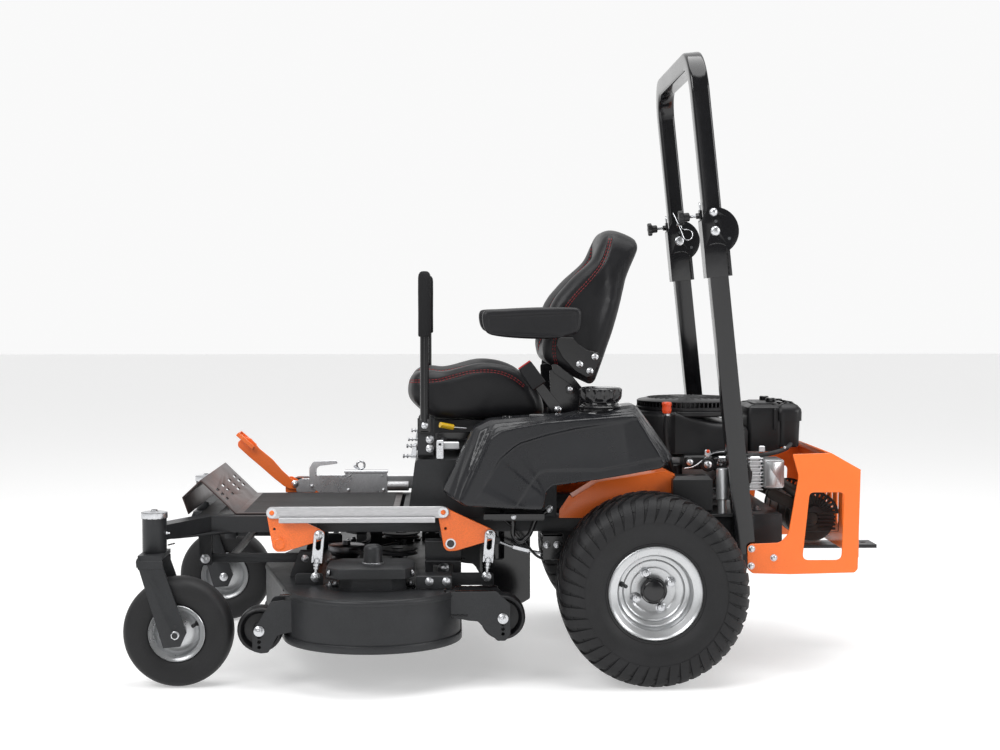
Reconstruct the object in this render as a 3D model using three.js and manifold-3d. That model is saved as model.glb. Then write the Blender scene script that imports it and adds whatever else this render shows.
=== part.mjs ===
// Zero turn mower: steel frame, suspended three-blade deck, rear engine, folding roll bar and suspension seat.
// Millimetres. X runs rearward, Y to the machine's right, Z up. The ground is Z = 0.
import * as THREE from 'three';
import { mergeVertices } from 'three/addons/utils/BufferGeometryUtils.js';
import Module from 'manifold-3d';

const wasm = await Module();
wasm.setup();

// ---------------------------------------------------------------- driving dimensions
const GAP = 0.3; // between parts that touch
const MID_PLANE_Y = -100; // the discharge chute on the right widens the machine by 200
const SIDES = [['left', -1], ['right', 1]];
const PLATE = 5;

const RAIL = { front: -895, rear: 733, inner: 245, outer: 295, bottom: 383, top: 428 };
const DECK_TOP_OF_RAIL = RAIL.top + GAP;

const DRIVE = { x: 346, y: 470, z: 254, radius: 254, halfWidth: 127, rimRadius: 120, lugCircle: 50.8 };
const CASTER = { x: -916, y: 481, z: 146, radius: 146, halfWidth: 50, rimRadius: 74, pivotX: -979 };
const CASTER_CROWN = { bottom: 345, top: 356 };
const CASTER_HOUSING = { radius: 32, bottom: 357, top: 463, capRadius: 34.5, capBottom: 447 };

const LIFT_FRONT = { x: -655, z: 366 };
const LIFT_REAR = { x: -193, z: 366 };
const CRANK_PIN = { x: 107, z: 24 }; // from the lift shaft
const CRANK_BAR_PIVOT = { x: -20, z: 86 }; // from the lift shaft
const LIFT_SHAFT_RADIUS = 12;
const CRANK_Y = [405, 413];
const LINK_Y = [414, 420];
const LINK_FOOT = { x: -10, z: -113 }; // from the crank pin

const DECK = { bottom: 118, top: 256, pod: 235, wall: 5, sidePod: [-402, 440], midPod: [-500, 0] };
const BLADE_RADIUS = 220;
const CHUTE = { front: -560, rear: -330, hingeY: 679, hingeZ: 258, tipY: 875, tipZ: 150 };
const SCALP = { radius: 60, y: 500, halfWidth: 32, front: [-697, 155], rear: [-55, 185] };
const STABILIZER = { frontX: -873, rearX: -597, z: 309, y: 270, halfWidth: 8 };

const ROPS = { pivotX: 526, pivotZ: 1213, y: 362, half: 25, lean: Math.atan2(86, 820), base: -888 };
const HOOP = { rise: 477, bend: 100 };
const CHEEK = { inner: 25.4, outer: 31, half: 35, bottom: -125, top: 31, disc: 65 };
const LOCK_PIN_RISE = 51;

const SEAT = { cushionHalf: 250, backHalf: 240, armInner: 245, armOuter: 305 };
const LEVER = { x: -264, y: 335, tube: 12.5, grip: 17, bottom: 690, gripBottom: 925, top: 1105 };
const TANK_Y = [335, 520];
const CAP = { x: 212, y: -420, radius: 59, bottom: 751, top: 792, neckRadius: 46 };
const ENGINE = { x: 508, plateTop: 428, blockTop: 584.7, headReach: 330 };
const GUARD_Y = [390, 395];

// ---------------------------------------------------------------- materials
function finish(color, roughness, metalness) {
  return new THREE.MeshStandardMaterial({ color, roughness, metalness });
}
const orangePaint = () => finish(0xf26a1b, 0.4, 0.1);
const charcoalPaint = () => finish(0x2b2c2e, 0.6, 0.3);
const glossBlack = () => finish(0x0c0c0d, 0.2, 0.2);
const blackPlastic = () => finish(0x1b1c1f, 0.55, 0.0);
const zinc = () => finish(0xb9bcc0, 0.35, 0.9);
const castMetal = () => finish(0x8a8d90, 0.6, 0.7);
const silverPaint = () => finish(0xc9cbcd, 0.35, 0.5);
const tyreRubber = () => finish(0x1c1c1d, 0.85, 0.0);
const vinyl = () => finish(0x1a1a1b, 0.6, 0.0);
const foam = () => finish(0x161616, 0.9, 0.0);

// ---------------------------------------------------------------- geometry helpers
function solidOf(geometry) {
  const bare = geometry.clone();
  bare.deleteAttribute('normal');
  bare.deleteAttribute('uv');
  const merged = mergeVertices(bare, 1e-3);
  const index = merged.index.array;
  const triangles = [];
  for (let i = 0; i < index.length; i += 3) {
    const [a, b, c] = [index[i], index[i + 1], index[i + 2]];
    if (a !== b && b !== c && c !== a) triangles.push(a, b, c);
  }
  const mesh = new wasm.Mesh({
    numProp: 3,
    vertProperties: new Float32Array(merged.attributes.position.array),
    triVerts: new Uint32Array(triangles),
  });
  return new wasm.Manifold(mesh);
}

function geometryOf(solid) {
  const mesh = solid.getMesh();
  const geometry = new THREE.BufferGeometry();
  geometry.setAttribute('position', new THREE.BufferAttribute(new Float32Array(mesh.vertProperties), 3));
  geometry.setIndex(new THREE.BufferAttribute(new Uint32Array(mesh.triVerts), 1));
  geometry.computeVertexNormals();
  return geometry;
}

// Every piece in the list joined into one body, then each cut taken away.
function build(pieces, cuts = []) {
  let solid = solidOf(pieces[0]);
  for (const piece of pieces.slice(1)) solid = solid.add(solidOf(piece));
  for (const cut of cuts) solid = solid.subtract(solidOf(cut));
  return geometryOf(solid);
}

function box(x0, x1, y0, y1, z0, z1) {
  const geometry = new THREE.BoxGeometry(x1 - x0, Math.abs(y1 - y0), z1 - z0);
  return geometry.translate((x0 + x1) / 2, (y0 + y1) / 2, (z0 + z1) / 2);
}

function rodY(radius, y0, y1, x, z, segments = 12) {
  const geometry = new THREE.CylinderGeometry(radius, radius, Math.abs(y1 - y0), segments);
  return geometry.translate(x, (y0 + y1) / 2, z);
}

function rodZ(radius, z0, z1, x, y, segments = 12) {
  const geometry = new THREE.CylinderGeometry(radius, radius, z1 - z0, segments).rotateX(Math.PI / 2);
  return geometry.translate(x, y, (z0 + z1) / 2);
}

function outline(points) {
  return new THREE.Shape(points.map(([a, b]) => new THREE.Vector2(a, b)));
}

// A plate whose outline is in X and Z and whose thickness runs along Y.
function plateY(shape, y0, y1, curveSegments = 4) {
  const depth = Math.abs(y1 - y0);
  const geometry = new THREE.ExtrudeGeometry(shape, { depth, bevelEnabled: false, curveSegments });
  return geometry.rotateX(Math.PI / 2).translate(0, Math.max(y0, y1), 0);
}

// A plate whose outline is in X and Y and whose thickness runs up Z.
function plateZ(shape, z0, z1, curveSegments = 6) {
  const geometry = new THREE.ExtrudeGeometry(shape, { depth: z1 - z0, bevelEnabled: false, curveSegments });
  return geometry.translate(0, 0, z0);
}

// A plate whose outline is in Y and Z and whose thickness runs along X.
function plateX(shape, x0, x1, curveSegments = 6) {
  const geometry = new THREE.ExtrudeGeometry(shape, { depth: x1 - x0, bevelEnabled: false, curveSegments });
  const turn = new THREE.Matrix4().makeBasis(
    new THREE.Vector3(0, 1, 0), new THREE.Vector3(0, 0, 1), new THREE.Vector3(1, 0, 0));
  return geometry.applyMatrix4(turn).translate(x0, 0, 0);
}

// A straight strip with round ends, from a to b.
function strip(a, b, radius) {
  const angle = Math.atan2(b[1] - a[1], b[0] - a[0]);
  const shape = new THREE.Shape();
  shape.absarc(b[0], b[1], radius, angle - Math.PI / 2, angle + Math.PI / 2);
  shape.absarc(a[0], a[1], radius, angle + Math.PI / 2, angle + Math.PI * 1.5);
  shape.closePath();
  return shape;
}

// The outline of a sheet of even thickness folded along a line of points.
function foldedSheet(points, thickness) {
  const normals = points.slice(1).map(([x, z], i) => {
    const run = new THREE.Vector2(x - points[i][0], z - points[i][1]).normalize();
    return new THREE.Vector2(-run.y, run.x);
  });
  const back = points.map(([x, z], i) => {
    const before = normals[Math.max(i - 1, 0)];
    const after = normals[Math.min(i, normals.length - 1)];
    const miter = before.clone().add(after).normalize();
    const reach = thickness / miter.dot(before);
    return [x + miter.x * reach, z + miter.y * reach];
  });
  return outline([...points, ...back.reverse()]);
}

// A ring turned about the Y axis; the profile lists radius and Y and is closed here, in the
// direction that makes the faces point out.
function turnedY(profile, segments) {
  const points = profile.map(([r, y]) => new THREE.Vector2(r, y));
  if (THREE.ShapeUtils.area(points) < 0) points.reverse();
  return new THREE.LatheGeometry([...points, points[0]], segments);
}

function mesh(name, geometry, material, parent, place = [0, 0, 0]) {
  const part = new THREE.Mesh(geometry, material);
  part.name = name;
  part.position.set(...place);
  parent.add(part);
  return part;
}

// ---------------------------------------------------------------- frame
function frontArm(side) {
  const start = [-870, side * 270];
  const end = [CASTER.pivotX, side * CASTER.y];
  const length = Math.hypot(end[0] - start[0], end[1] - start[1]);
  const angle = Math.atan2(end[1] - start[1], end[0] - start[0]);
  const arm = new THREE.BoxGeometry(length, 50, 40).translate(length / 2, 0, 0).rotateZ(angle);
  const gusset = outline([[-895, side * 250], [-797, side * 290], [-940, side * 400], [-960, side * 400]]);
  return [arm.translate(start[0], start[1], 408), plateZ(gusset, 380, 386)];
}

function casterHousing(side) {
  const y = side * CASTER.y;
  const { radius, bottom, top, capRadius, capBottom } = CASTER_HOUSING;
  const tube = rodZ(radius, bottom, capBottom + 1, CASTER.pivotX, y, 14);
  const cap = rodZ(capRadius, capBottom, top, CASTER.pivotX, y, 14);
  const bolt = rodZ(8, top - 1, 470, CASTER.pivotX, y, 6);
  return { pieces: [tube, cap, bolt], bore: rodZ(15, bottom - 30, 455, CASTER.pivotX, y) };
}

function hangingLug(side, x, z, halfLength, inner, outer) {
  return box(x - halfLength, x + halfLength, side * inner, side * outer, z - 18, RAIL.bottom + 1);
}

function mainFrame() {
  const pieces = [];
  const cuts = [];
  for (const [, side] of SIDES) {
    pieces.push(box(RAIL.front, RAIL.rear, side * RAIL.inner, side * RAIL.outer, RAIL.bottom, RAIL.top));
    pieces.push(...frontArm(side));
    const housing = casterHousing(side);
    pieces.push(...housing.pieces);
    cuts.push(housing.bore);
    for (const shaft of [LIFT_FRONT, LIFT_REAR]) {
      pieces.push(hangingLug(side, shaft.x, shaft.z, 24, 250, 258));
      cuts.push(rodY(LIFT_SHAFT_RADIUS + 1, side * 240, side * 270, shaft.x, shaft.z));
    }
    for (const [inner, outer] of [[252, 259], [281, 288]]) {
      pieces.push(hangingLug(side, STABILIZER.frontX, STABILIZER.z, 17, inner, outer));
    }
    pieces.push(rodY(7, side * 255, side * 285, STABILIZER.frontX, STABILIZER.z));
    pieces.push(box(560, RAIL.rear, side * 287, side * RAIL.outer, 276, RAIL.bottom + 1)); // drop plate
    pieces.push(box(592, 648, side * 290, side * 336.7, RAIL.bottom, RAIL.top)); // roll bar foot
    pieces.push(box(-600, -560, side * 290, side * 330, 396, RAIL.top)); // step stub
  }
  for (const [x0, x1] of [[RAIL.front, -845], [-330, -280], [60, 100], [690, RAIL.rear]]) {
    pieces.push(box(x0, x1, -RAIL.inner - 5, RAIL.inner + 5, RAIL.bottom, RAIL.top));
  }
  pieces.push(box(430, 700, -250, 250, 420, ENGINE.plateTop));
  pieces.push(box(725, RAIL.rear, -290, 290, 297, RAIL.bottom + 1));
  pieces.push(box(640, 1062, -50, 50, 297, 307)); // hitch plate
  pieces.push(box(-700, -654, 286.5, 292, RAIL.top - 1, 476)); // lift pedal bracket
  cuts.push(rodZ(10, 290, 310, 1032, 0));
  return build(pieces, cuts);
}

function floorPan() {
  const profile = foldedSheet([[-340, DECK_TOP_OF_RAIL], [-792, DECK_TOP_OF_RAIL], [-888, 521],
    [-936, 476], [-920, 431]], -4);
  const slots = [];
  const tilt = Math.atan2(521 - DECK_TOP_OF_RAIL, 96);
  for (const y of [-190, -70, 70, 190]) {
    for (const along of [50, 68, 86]) {
      const slot = new THREE.BoxGeometry(8, 44, 20).rotateY(tilt);
      slots.push(slot.translate(-792 - along * Math.cos(tilt), y, DECK_TOP_OF_RAIL + along * Math.sin(tilt)));
    }
  }
  return build([plateY(profile, -262, 262)], slots);
}

function seatPedestal() {
  const bottom = DECK_TOP_OF_RAIL;
  const side = outline([[-311, bottom], [100, bottom], [100, 587], [-285, 587], [-291, 579]]);
  const hollow = outline([[-306, bottom - 9], [95, bottom - 9], [95, 582], [-282, 582], [-286, 577]]);
  const pieces = [plateY(side, -330, 330)];
  const cuts = [plateY(hollow, -325, 325)];
  for (const [, s] of SIDES) {
    pieces.push(box(-284, -240, s * 262, s * 270, 585, 624));
    cuts.push(rodY(9, s * 255, s * 275, -262, 608, 10));
  }
  return build(pieces, cuts);
}

// ---------------------------------------------------------------- tanks, fenders, engine
function tankShape() {
  return outline([[-216, 510], [-166, 477], [58, 465], [63, 515], [72, 528], [205, 545], [389, 580],
    [410, 600], [306, 746], [123, 716], [-88, 703], [-130, 680]]);
}

function tank(side) {
  const body = plateY(tankShape(), side * TANK_Y[0], side * TANK_Y[1]);
  const front = outline([[-230, side * 350], [-230, side * 540], [-150, side * 540]]);
  const rear = outline([[425, side * 420], [425, side * 540], [330, side * 540]]);
  const pieces = [body];
  if (side < 0) {
    const neckTop = CAP.bottom - GAP;
    pieces.push(rodZ(CAP.neckRadius, 700, neckTop, CAP.x, CAP.y, 28));
  }
  return build(pieces, [plateZ(front, 440, 760), plateZ(rear, 440, 760)]);
}

function fuelCap() {
  const ribs = 12;
  const shape = new THREE.Shape();
  for (let i = 0; i < ribs * 4; i += 1) {
    const angle = (i / (ribs * 4)) * Math.PI * 2;
    const radius = i % 4 < 2 ? CAP.radius : CAP.radius - 5;
    const point = [radius * Math.cos(angle), radius * Math.sin(angle)];
    if (i === 0) shape.moveTo(...point);
    else shape.lineTo(...point);
  }
  return plateZ(shape, CAP.bottom, CAP.top);
}

function fender(side) {
  const wall = outline([[108, 422], [524, 422], [524, 493], [406, 552], [219, 523], [145, 478], [137, 486],
    [108, 444]]);
  const top = foldedSheet([[145, 478], [219, 523], [406, 552], [524, 493]], -PLATE);
  return build([plateY(wall, side * 306, side * 312), plateY(top, side * 205, side * 310)]);
}

function headOutline(near, far, half, side) {
  const along = [Math.SQRT1_2, side * Math.SQRT1_2];
  const across = [-along[1], along[0]];
  const corner = (reach, offset) => [
    ENGINE.x + along[0] * reach + across[0] * offset, along[1] * reach + across[1] * offset];
  return outline([corner(near, -half), corner(far, -half), corner(far, half), corner(near, half)]);
}

function engineBlock() {
  const bottom = ENGINE.plateTop + GAP;
  const pieces = [box(400, 620, -110, 110, bottom + 12, ENGINE.blockTop)];
  pieces.push(box(432, 600, -130, 130, bottom, bottom + 16));
  for (const [, side] of SIDES) {
    pieces.push(plateZ(headOutline(90, 292, 52, side), 494, 582));
    pieces.push(plateZ(headOutline(290, ENGINE.headReach, 42, side), 498, 578));
  }
  pieces.push(rodY(34, -160, -100, 560, 500));
  return build(pieces);
}

function blowerHousing() {
  const bottom = ENGINE.blockTop + GAP;
  const pieces = [rodZ(170, bottom, 700, ENGINE.x, 0, 32), box(508, 660, -150, 150, bottom, 682)];
  pieces.push(rodZ(150, 695, 710, ENGINE.x, 0, 32), rodZ(135, 705, 745, ENGINE.x, 0, 32));
  const cuts = [rodZ(162, bottom - 5, 692, ENGINE.x, 0, 24), box(520, 652, -142, 142, bottom - 5, 674)];
  return build(pieces, cuts);
}

function roundedRectangle(x0, x1, y0, y1, radius) {
  const shape = new THREE.Shape();
  shape.absarc(x1 - radius, y1 - radius, radius, 0, Math.PI / 2);
  shape.absarc(x0 + radius, y1 - radius, radius, Math.PI / 2, Math.PI);
  shape.absarc(x0 + radius, y0 + radius, radius, Math.PI, Math.PI * 1.5);
  shape.absarc(x1 - radius, y0 + radius, radius, Math.PI * 1.5, Math.PI * 2);
  shape.closePath();
  return shape;
}

function airCleaner() {
  const outer = plateZ(roundedRectangle(682, 845, -115, 115, 34), 606, 732, 5);
  const inner = plateZ(roundedRectangle(688, 839, -109, 109, 28), 600, 726, 5);
  return build([outer], [inner]);
}

function muffler() {
  const pieces = [rodY(62, -190, 190, 838, 402, 20)];
  for (const [, side] of SIDES) {
    pieces.push(plateY(strip([815, 430], [730, 470], 16), side * 140, side * 172, 4));
  }
  return build(pieces);
}

function rearGuard() {
  const sideShape = outline([[741, 607], [848, 609], [931, 561], [924, 290], [914, 279], [736, 275], [634, 278],
    [619, 341], [625, 358], [714, 361], [739, 388], [764, 552]]);
  const window = roundedRectangle(781, 888, 312, 500, 14);
  const pieces = [];
  const cuts = [];
  for (const [, side] of SIDES) {
    pieces.push(plateY(sideShape, side * GUARD_Y[0], side * GUARD_Y[1]));
    cuts.push(plateY(window, side * 380, side * 400, 2));
  }
  pieces.push(box(921, 926, -392, 392, 318, 563));
  pieces.push(plateY(foldedSheet([[848, 609], [931, 561]], -PLATE), -GUARD_Y[1], GUARD_Y[1]));
  for (let y = -300; y <= 300; y += 75) {
    cuts.push(box(915, 935, y - 14, y + 14, 380, 500));
  }
  return build(pieces, cuts);
}

// ---------------------------------------------------------------- roll bar, in a group that leans forward
function cheekShape() {
  const { half, bottom, top, disc } = CHEEK;
  const shape = new THREE.Shape();
  shape.moveTo(-half, bottom);
  shape.lineTo(half, bottom);
  shape.lineTo(half, -Math.sqrt(disc ** 2 - half ** 2));
  shape.absarc(0, 0, disc, -Math.acos(half / disc), Math.PI / 2);
  shape.lineTo(-15, disc);
  shape.lineTo(-half, top);
  shape.closePath();
  return shape;
}

function ropsPost(side) {
  const y = side * ROPS.y;
  const { half } = ROPS;
  const { inner, outer, bottom, top } = CHEEK;
  const pieces = [box(-half, half, y - half, y + half, ROPS.base, bottom + 5)];
  pieces.push(box(-CHEEK.half, CHEEK.half, y - outer, y + outer, bottom, -50));
  for (const s of [-1, 1]) pieces.push(plateY(cheekShape(), y + s * inner, y + s * outer, 8));
  pieces.push(box(-CHEEK.half, -inner, y - outer, y + outer, bottom, top));
  const cuts = [rodY(8.5, y - 40, y + 40, 0, 0)];
  cuts.push(rodY(6.6, y + side * 20, y + side * 40, 0, LOCK_PIN_RISE, 10));
  return build(pieces, cuts);
}

function ropsHoop() {
  const { y, half } = ROPS;
  const { rise, bend } = HOOP;
  const pieces = [];
  for (const s of [-1, 1]) {
    pieces.push(box(-half, half, s * (y - half), s * (y + half), 0, rise - bend + 1));
    pieces.push(rodY(half, s * (y - half), s * (y + half), 0, 0, 20));
    pieces.push(rodY(7.5, s * (y - 38), s * (y + 38), 0, 0, 10));
  }
  const arch = new THREE.Shape();
  const inside = bend - half;
  const outside = bend + half;
  arch.moveTo(-y - half, rise - bend);
  arch.absarc(-y + bend, rise - bend, outside, Math.PI, Math.PI / 2, true);
  arch.absarc(y - bend, rise - bend, outside, Math.PI / 2, 0, true);
  arch.lineTo(y - half, rise - bend);
  arch.absarc(y - bend, rise - bend, inside, 0, Math.PI / 2, false);
  arch.absarc(-y + bend, rise - bend, inside, Math.PI / 2, Math.PI, false);
  arch.closePath();
  pieces.push(plateX(arch, -half, half, 6));
  return build(pieces);
}

function lockPin(side) {
  const y = side * ROPS.y;
  const shank = rodY(6, y + side * 26.5, y + side * 34, 0, LOCK_PIN_RISE, 14);
  const head = rodY(13, y + side * (CHEEK.outer + GAP), y + side * 44, 0, LOCK_PIN_RISE, 14);
  return build([shank, head]);
}

// ---------------------------------------------------------------- wheels
function tyre(radius, halfWidth, bead, beadHalf, flange, wall) {
  const shoulder = halfWidth * 0.58;
  const rise = radius - flange;
  const side = [[bead, beadHalf], [flange + 2, beadHalf + 1], [flange + rise * 0.55, halfWidth], [radius, shoulder]];
  const inner = [[radius - wall, shoulder - wall], [bead, beadHalf - wall]];
  const mirror = (list) => list.map(([r, y]) => [r, -y]);
  return [...side, ...mirror(side).reverse(), ...mirror(inner).reverse(), ...inner];
}

function driveTyre() {
  const profile = tyre(DRIVE.radius, DRIVE.halfWidth, 105, 95, DRIVE.rimRadius, 14);
  return turnedY(profile, 24);
}

function driveRim(side) {
  const flip = ([r, y]) => [r, y * side];
  const profile = [[16, 44], [66, 44], [98, 66], [98, 101], [120, 105], [120, 101], [104, 97],
    [104, -97], [120, -101], [120, -105], [98, -101], [98, 58], [66, 36], [16, 36]].map(flip);
  const pieces = [turnedY(profile, 24)];
  pieces.push(rodY(18, side * -119, side * 40, 0, 0));
  pieces.push(rodY(62, side * 26, side * 37, 0, 0, 20));
  pieces.push(rodY(37, side * 36, side * 64, 0, 0, 20));
  for (let i = 0; i < 4; i += 1) {
    const angle = Math.PI / 4 + (i * Math.PI) / 2;
    const [x, z] = [DRIVE.lugCircle * Math.cos(angle), DRIVE.lugCircle * Math.sin(angle)];
    pieces.push(rodY(9, side * 40, side * 58, x, z, 6));
  }
  return build(pieces);
}

function casterTyre() {
  return turnedY(tyre(CASTER.radius, CASTER.halfWidth, 65, 37, CASTER.rimRadius, 9), 20);
}

function casterRim() {
  const half = [[8.5, 54], [21, 54], [21, 8], [60, 8], [60, 43], [74, 46], [64, 39]];
  const other = half.map(([r, y]) => [r, -y]).reverse();
  return turnedY([...half, ...other], 20);
}

function casterFork() {
  const x0 = CASTER.pivotX - CASTER.x;
  const crown = box(x0 - 33, x0 + 31, -68, 68, CASTER_CROWN.bottom - CASTER.z, CASTER_CROWN.top - CASTER.z);
  const spindle = rodZ(14, CASTER_CROWN.bottom - CASTER.z, 450 - CASTER.z, x0, 0);
  const leg = outline([[-96, 210], [-95, 180], [-32, -34], [13, -30], [29, 6], [-36, 194], [-36, 210]]);
  const pieces = [crown, spindle, rodY(8, -76, 76, 0, 0, 14)];
  for (const s of [-1, 1]) pieces.push(plateY(leg, s * 58, s * 68));
  return build(pieces);
}

function scalpWheel() {
  const { radius, halfWidth } = SCALP;
  const half = [[8.5, halfWidth], [56, halfWidth], [radius, halfWidth - 8]];
  return turnedY([...half, ...half.map(([r, y]) => [r, -y]).reverse()], 24);
}

// ---------------------------------------------------------------- drive and lift
function twinTransaxle() {
  const pieces = [box(240, 300, -130, 130, 282, 318)];
  for (const [, side] of SIDES) {
    pieces.push(box(215, 395, side * 120, side * 262, 170, 350));
    pieces.push(rodY(78, side * 260, side * 300, DRIVE.x, DRIVE.z, 20));
    pieces.push(rodY(42, side * 298, side * 345, DRIVE.x, DRIVE.z, 16));
    pieces.push(rodZ(66, 348, 374, 300, side * 190, 18));
  }
  return build(pieces);
}

function liftShaft(shaft) {
  const pieces = [rodY(LIFT_SHAFT_RADIUS, -CRANK_Y[1], CRANK_Y[1], shaft.x, shaft.z)];
  const pin = [shaft.x + CRANK_PIN.x, shaft.z + CRANK_PIN.z];
  const bar = [shaft.x + CRANK_BAR_PIVOT.x, shaft.z + CRANK_BAR_PIVOT.z];
  const corners = [[shaft.x - 20, shaft.z - 14], [shaft.x + 4, shaft.z - 22], [pin[0] + 6, pin[1] - 16],
    [pin[0] + 18, pin[1] + 4], [pin[0] + 4, pin[1] + 17], [bar[0] + 20, bar[1] + 20], [bar[0] - 12, bar[1] + 20],
    [bar[0] - 20, bar[1] + 4]];
  for (const [, side] of SIDES) pieces.push(plateY(outline(corners), side * CRANK_Y[0], side * CRANK_Y[1]));
  return build(pieces);
}

function liftBar(side) {
  const z = LIFT_REAR.z + CRANK_BAR_PIVOT.z;
  const front = LIFT_FRONT.x + CRANK_BAR_PIVOT.x;
  const rear = LIFT_REAR.x + CRANK_BAR_PIVOT.x;
  const flat = plateY(strip([front, z], [rear, z], 20), side * LINK_Y[0], side * LINK_Y[1]);
  const lip = box(front + 60, rear - 60, side * LINK_Y[0], side * 436, z - 25, z - 19.5);
  return build([flat, lip]);
}

function hangerLink(shaft, side) {
  const pin = [shaft.x + CRANK_PIN.x, shaft.z + CRANK_PIN.z];
  const foot = [pin[0] + LINK_FOOT.x, pin[1] + LINK_FOOT.z];
  const reach = Math.hypot(LINK_FOOT.x, LINK_FOOT.z);
  const slotEnd = [pin[0] + (LINK_FOOT.x * 32) / reach, pin[1] + (LINK_FOOT.z * 32) / reach];
  const body = plateY(strip(pin, foot, 15), side * LINK_Y[0], side * LINK_Y[1]);
  const slot = plateY(strip(pin, slotEnd, 6.5), side * 400, side * 430, 5);
  return build([body], [slot, rodY(6.6, side * 400, side * 430, foot[0], foot[1], 14)]);
}

function deckStabilizer() {
  const { frontX, rearX, z, y, halfWidth } = STABILIZER;
  const pieces = [rodY(11, -y, y, frontX + 70, z)];
  const cuts = [];
  for (const [, side] of SIDES) {
    const arm = strip([frontX, z], [rearX, z], 12);
    pieces.push(plateY(arm, side * (y - halfWidth), side * (y + halfWidth)));
    cuts.push(rodY(7.6, side * (y - 20), side * (y + 20), frontX, z, 10));
    cuts.push(rodY(7.6, side * (y - 20), side * (y + 20), rearX, z, 10));
  }
  return build(pieces, cuts);
}

function liftPedal() {
  const arm = outline([[-690, 446], [-668, 444], [-655, 458], [-664, 472], [-800, 596], [-822, 574]]);
  const pad = new THREE.BoxGeometry(70, 72, 8).rotateY(0.72).translate(-826, 290, 590);
  return build([plateY(arm, 276, 284), pad], [rodY(6, 270, 290, -675, 457, 14)]);
}

function heightSelector() {
  const body = box(-519, -386, 264, 294, DECK_TOP_OF_RAIL, 500);
  const hook = outline([[-607, DECK_TOP_OF_RAIL], [-386, DECK_TOP_OF_RAIL], [-386, 452], [-500, 480],
    [-524, 488], [-595, 488], [-606, 505], [-606, 516], [-538, 516], [-538, 528], [-622, 528], [-622, 500]]);
  const ring = rodY(16, 268, 276, -474, 512, 16);
  return build([body, plateY(hook, 264, 272), ring], [rodY(9, 262, 280, -474, 514, 10)]);
}

// ---------------------------------------------------------------- deck
function deckOutline(radius) {
  const [sideX, sideY] = DECK.sidePod;
  const [midX, midY] = DECK.midPod;
  const tilt = Math.atan2(sideX - midX, sideY - midY);
  const shape = new THREE.Shape();
  shape.absarc(sideX, -sideY, radius, Math.PI + tilt, Math.PI * 2, false);
  shape.absarc(sideX, sideY, radius, 0, Math.PI - tilt, false);
  shape.absarc(midX, midY, radius, Math.PI - tilt, Math.PI + tilt, false);
  return shape;
}

function deckShell() {
  const pieces = [];
  const cuts = [];
  const [sideX, sideY] = DECK.sidePod;
  const arcs = 8;
  const whole = (radius, z0, z1) => plateZ(deckOutline(radius), z0, z1, arcs);
  pieces.push(whole(DECK.pod, DECK.bottom, DECK.top));
  pieces.push(box(CHUTE.front, CHUTE.rear, 560, 674, DECK.top - DECK.wall, DECK.top));
  for (const [x, y] of [[sideX, -sideY], DECK.midPod, [sideX, sideY]]) {
    pieces.push(rodZ(44, DECK.top - 1, 276, x, y, 16));
    cuts.push(rodZ(14, 200, 300, x, y, 12));
  }
  for (const [, s] of SIDES) {
    for (const y of [[456, 464], [538, 546]]) {
      const front = outline([[-570, 200], [-570, 252], [-648, 248], [-722, 178], [-716, 138], [-690, 128],
        [-660, 140], [-628, 200]]);
      const rear = outline([[-210, 190], [-210, 268], [-67, 268], [-36, 234], [-36, 150], [-60, 136],
        [-84, 150], [-122, 190]]);
      pieces.push(plateY(front, s * y[0], s * y[1]), plateY(rear, s * y[0], s * y[1]));
    }
    for (const [x, z] of [SCALP.front, SCALP.rear]) pieces.push(rodY(8, s * 458, s * 552, x, z, 10));
    for (const shaft of [LIFT_FRONT, LIFT_REAR]) {
      const foot = [shaft.x + CRANK_PIN.x + LINK_FOOT.x, shaft.z + CRANK_PIN.z + LINK_FOOT.z];
      const inward = shaft === LIFT_REAR ? -110 : -30;
      pieces.push(box(foot[0] + inward, foot[0] + 20, s * 402, s * 412, 236, 294));
      pieces.push(rodY(6, s * 405, s * 427, foot[0], foot[1], 10));
    }
    for (const y of [[250, 258], [282, 290]]) {
      pieces.push(box(STABILIZER.rearX - 45, STABILIZER.rearX + 25, s * y[0], s * y[1], DECK.top - 3, 328));
    }
    pieces.push(box(-290, -190, s * 430, s * 500, DECK.top - 2, 300));
  }
  const inner = plateZ(deckOutline(DECK.pod - DECK.wall), DECK.bottom - 20, DECK.top - DECK.wall, arcs);
  cuts.push(inner, box(CHUTE.front, CHUTE.rear, 560, 700, DECK.bottom - 20, 236));
  return build(pieces, cuts);
}

function dischargeChute() {
  const { front, rear, hingeY, hingeZ, tipY, tipZ } = CHUTE;
  const top = foldedSheet([[hingeY, hingeZ], [hingeY + 108, hingeZ - 23], [tipY, tipZ]], -4);
  const cheek = outline([[hingeY + 6, hingeZ - 4], [hingeY + 108, hingeZ - 26], [tipY - 3, tipZ], [hingeY + 20, tipZ + 20]]);
  const pieces = [plateX(top, front, rear)];
  for (const x of [front, rear - 4]) pieces.push(plateX(cheek, x, x + 4));
  return build(pieces);
}

function bladeSpindle(turn) {
  const blade = box(-BLADE_RADIUS, BLADE_RADIUS, -31, 31, 138, 144).rotateZ(turn);
  const shaft = rodZ(12, 132, 318, 0, 0, 12);
  const pulley = rodZ(54, 286, 306, 0, 0, 20);
  const nut = rodZ(20, 130, 139, 0, 0, 6);
  return build([blade, shaft, pulley, nut]);
}

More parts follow.
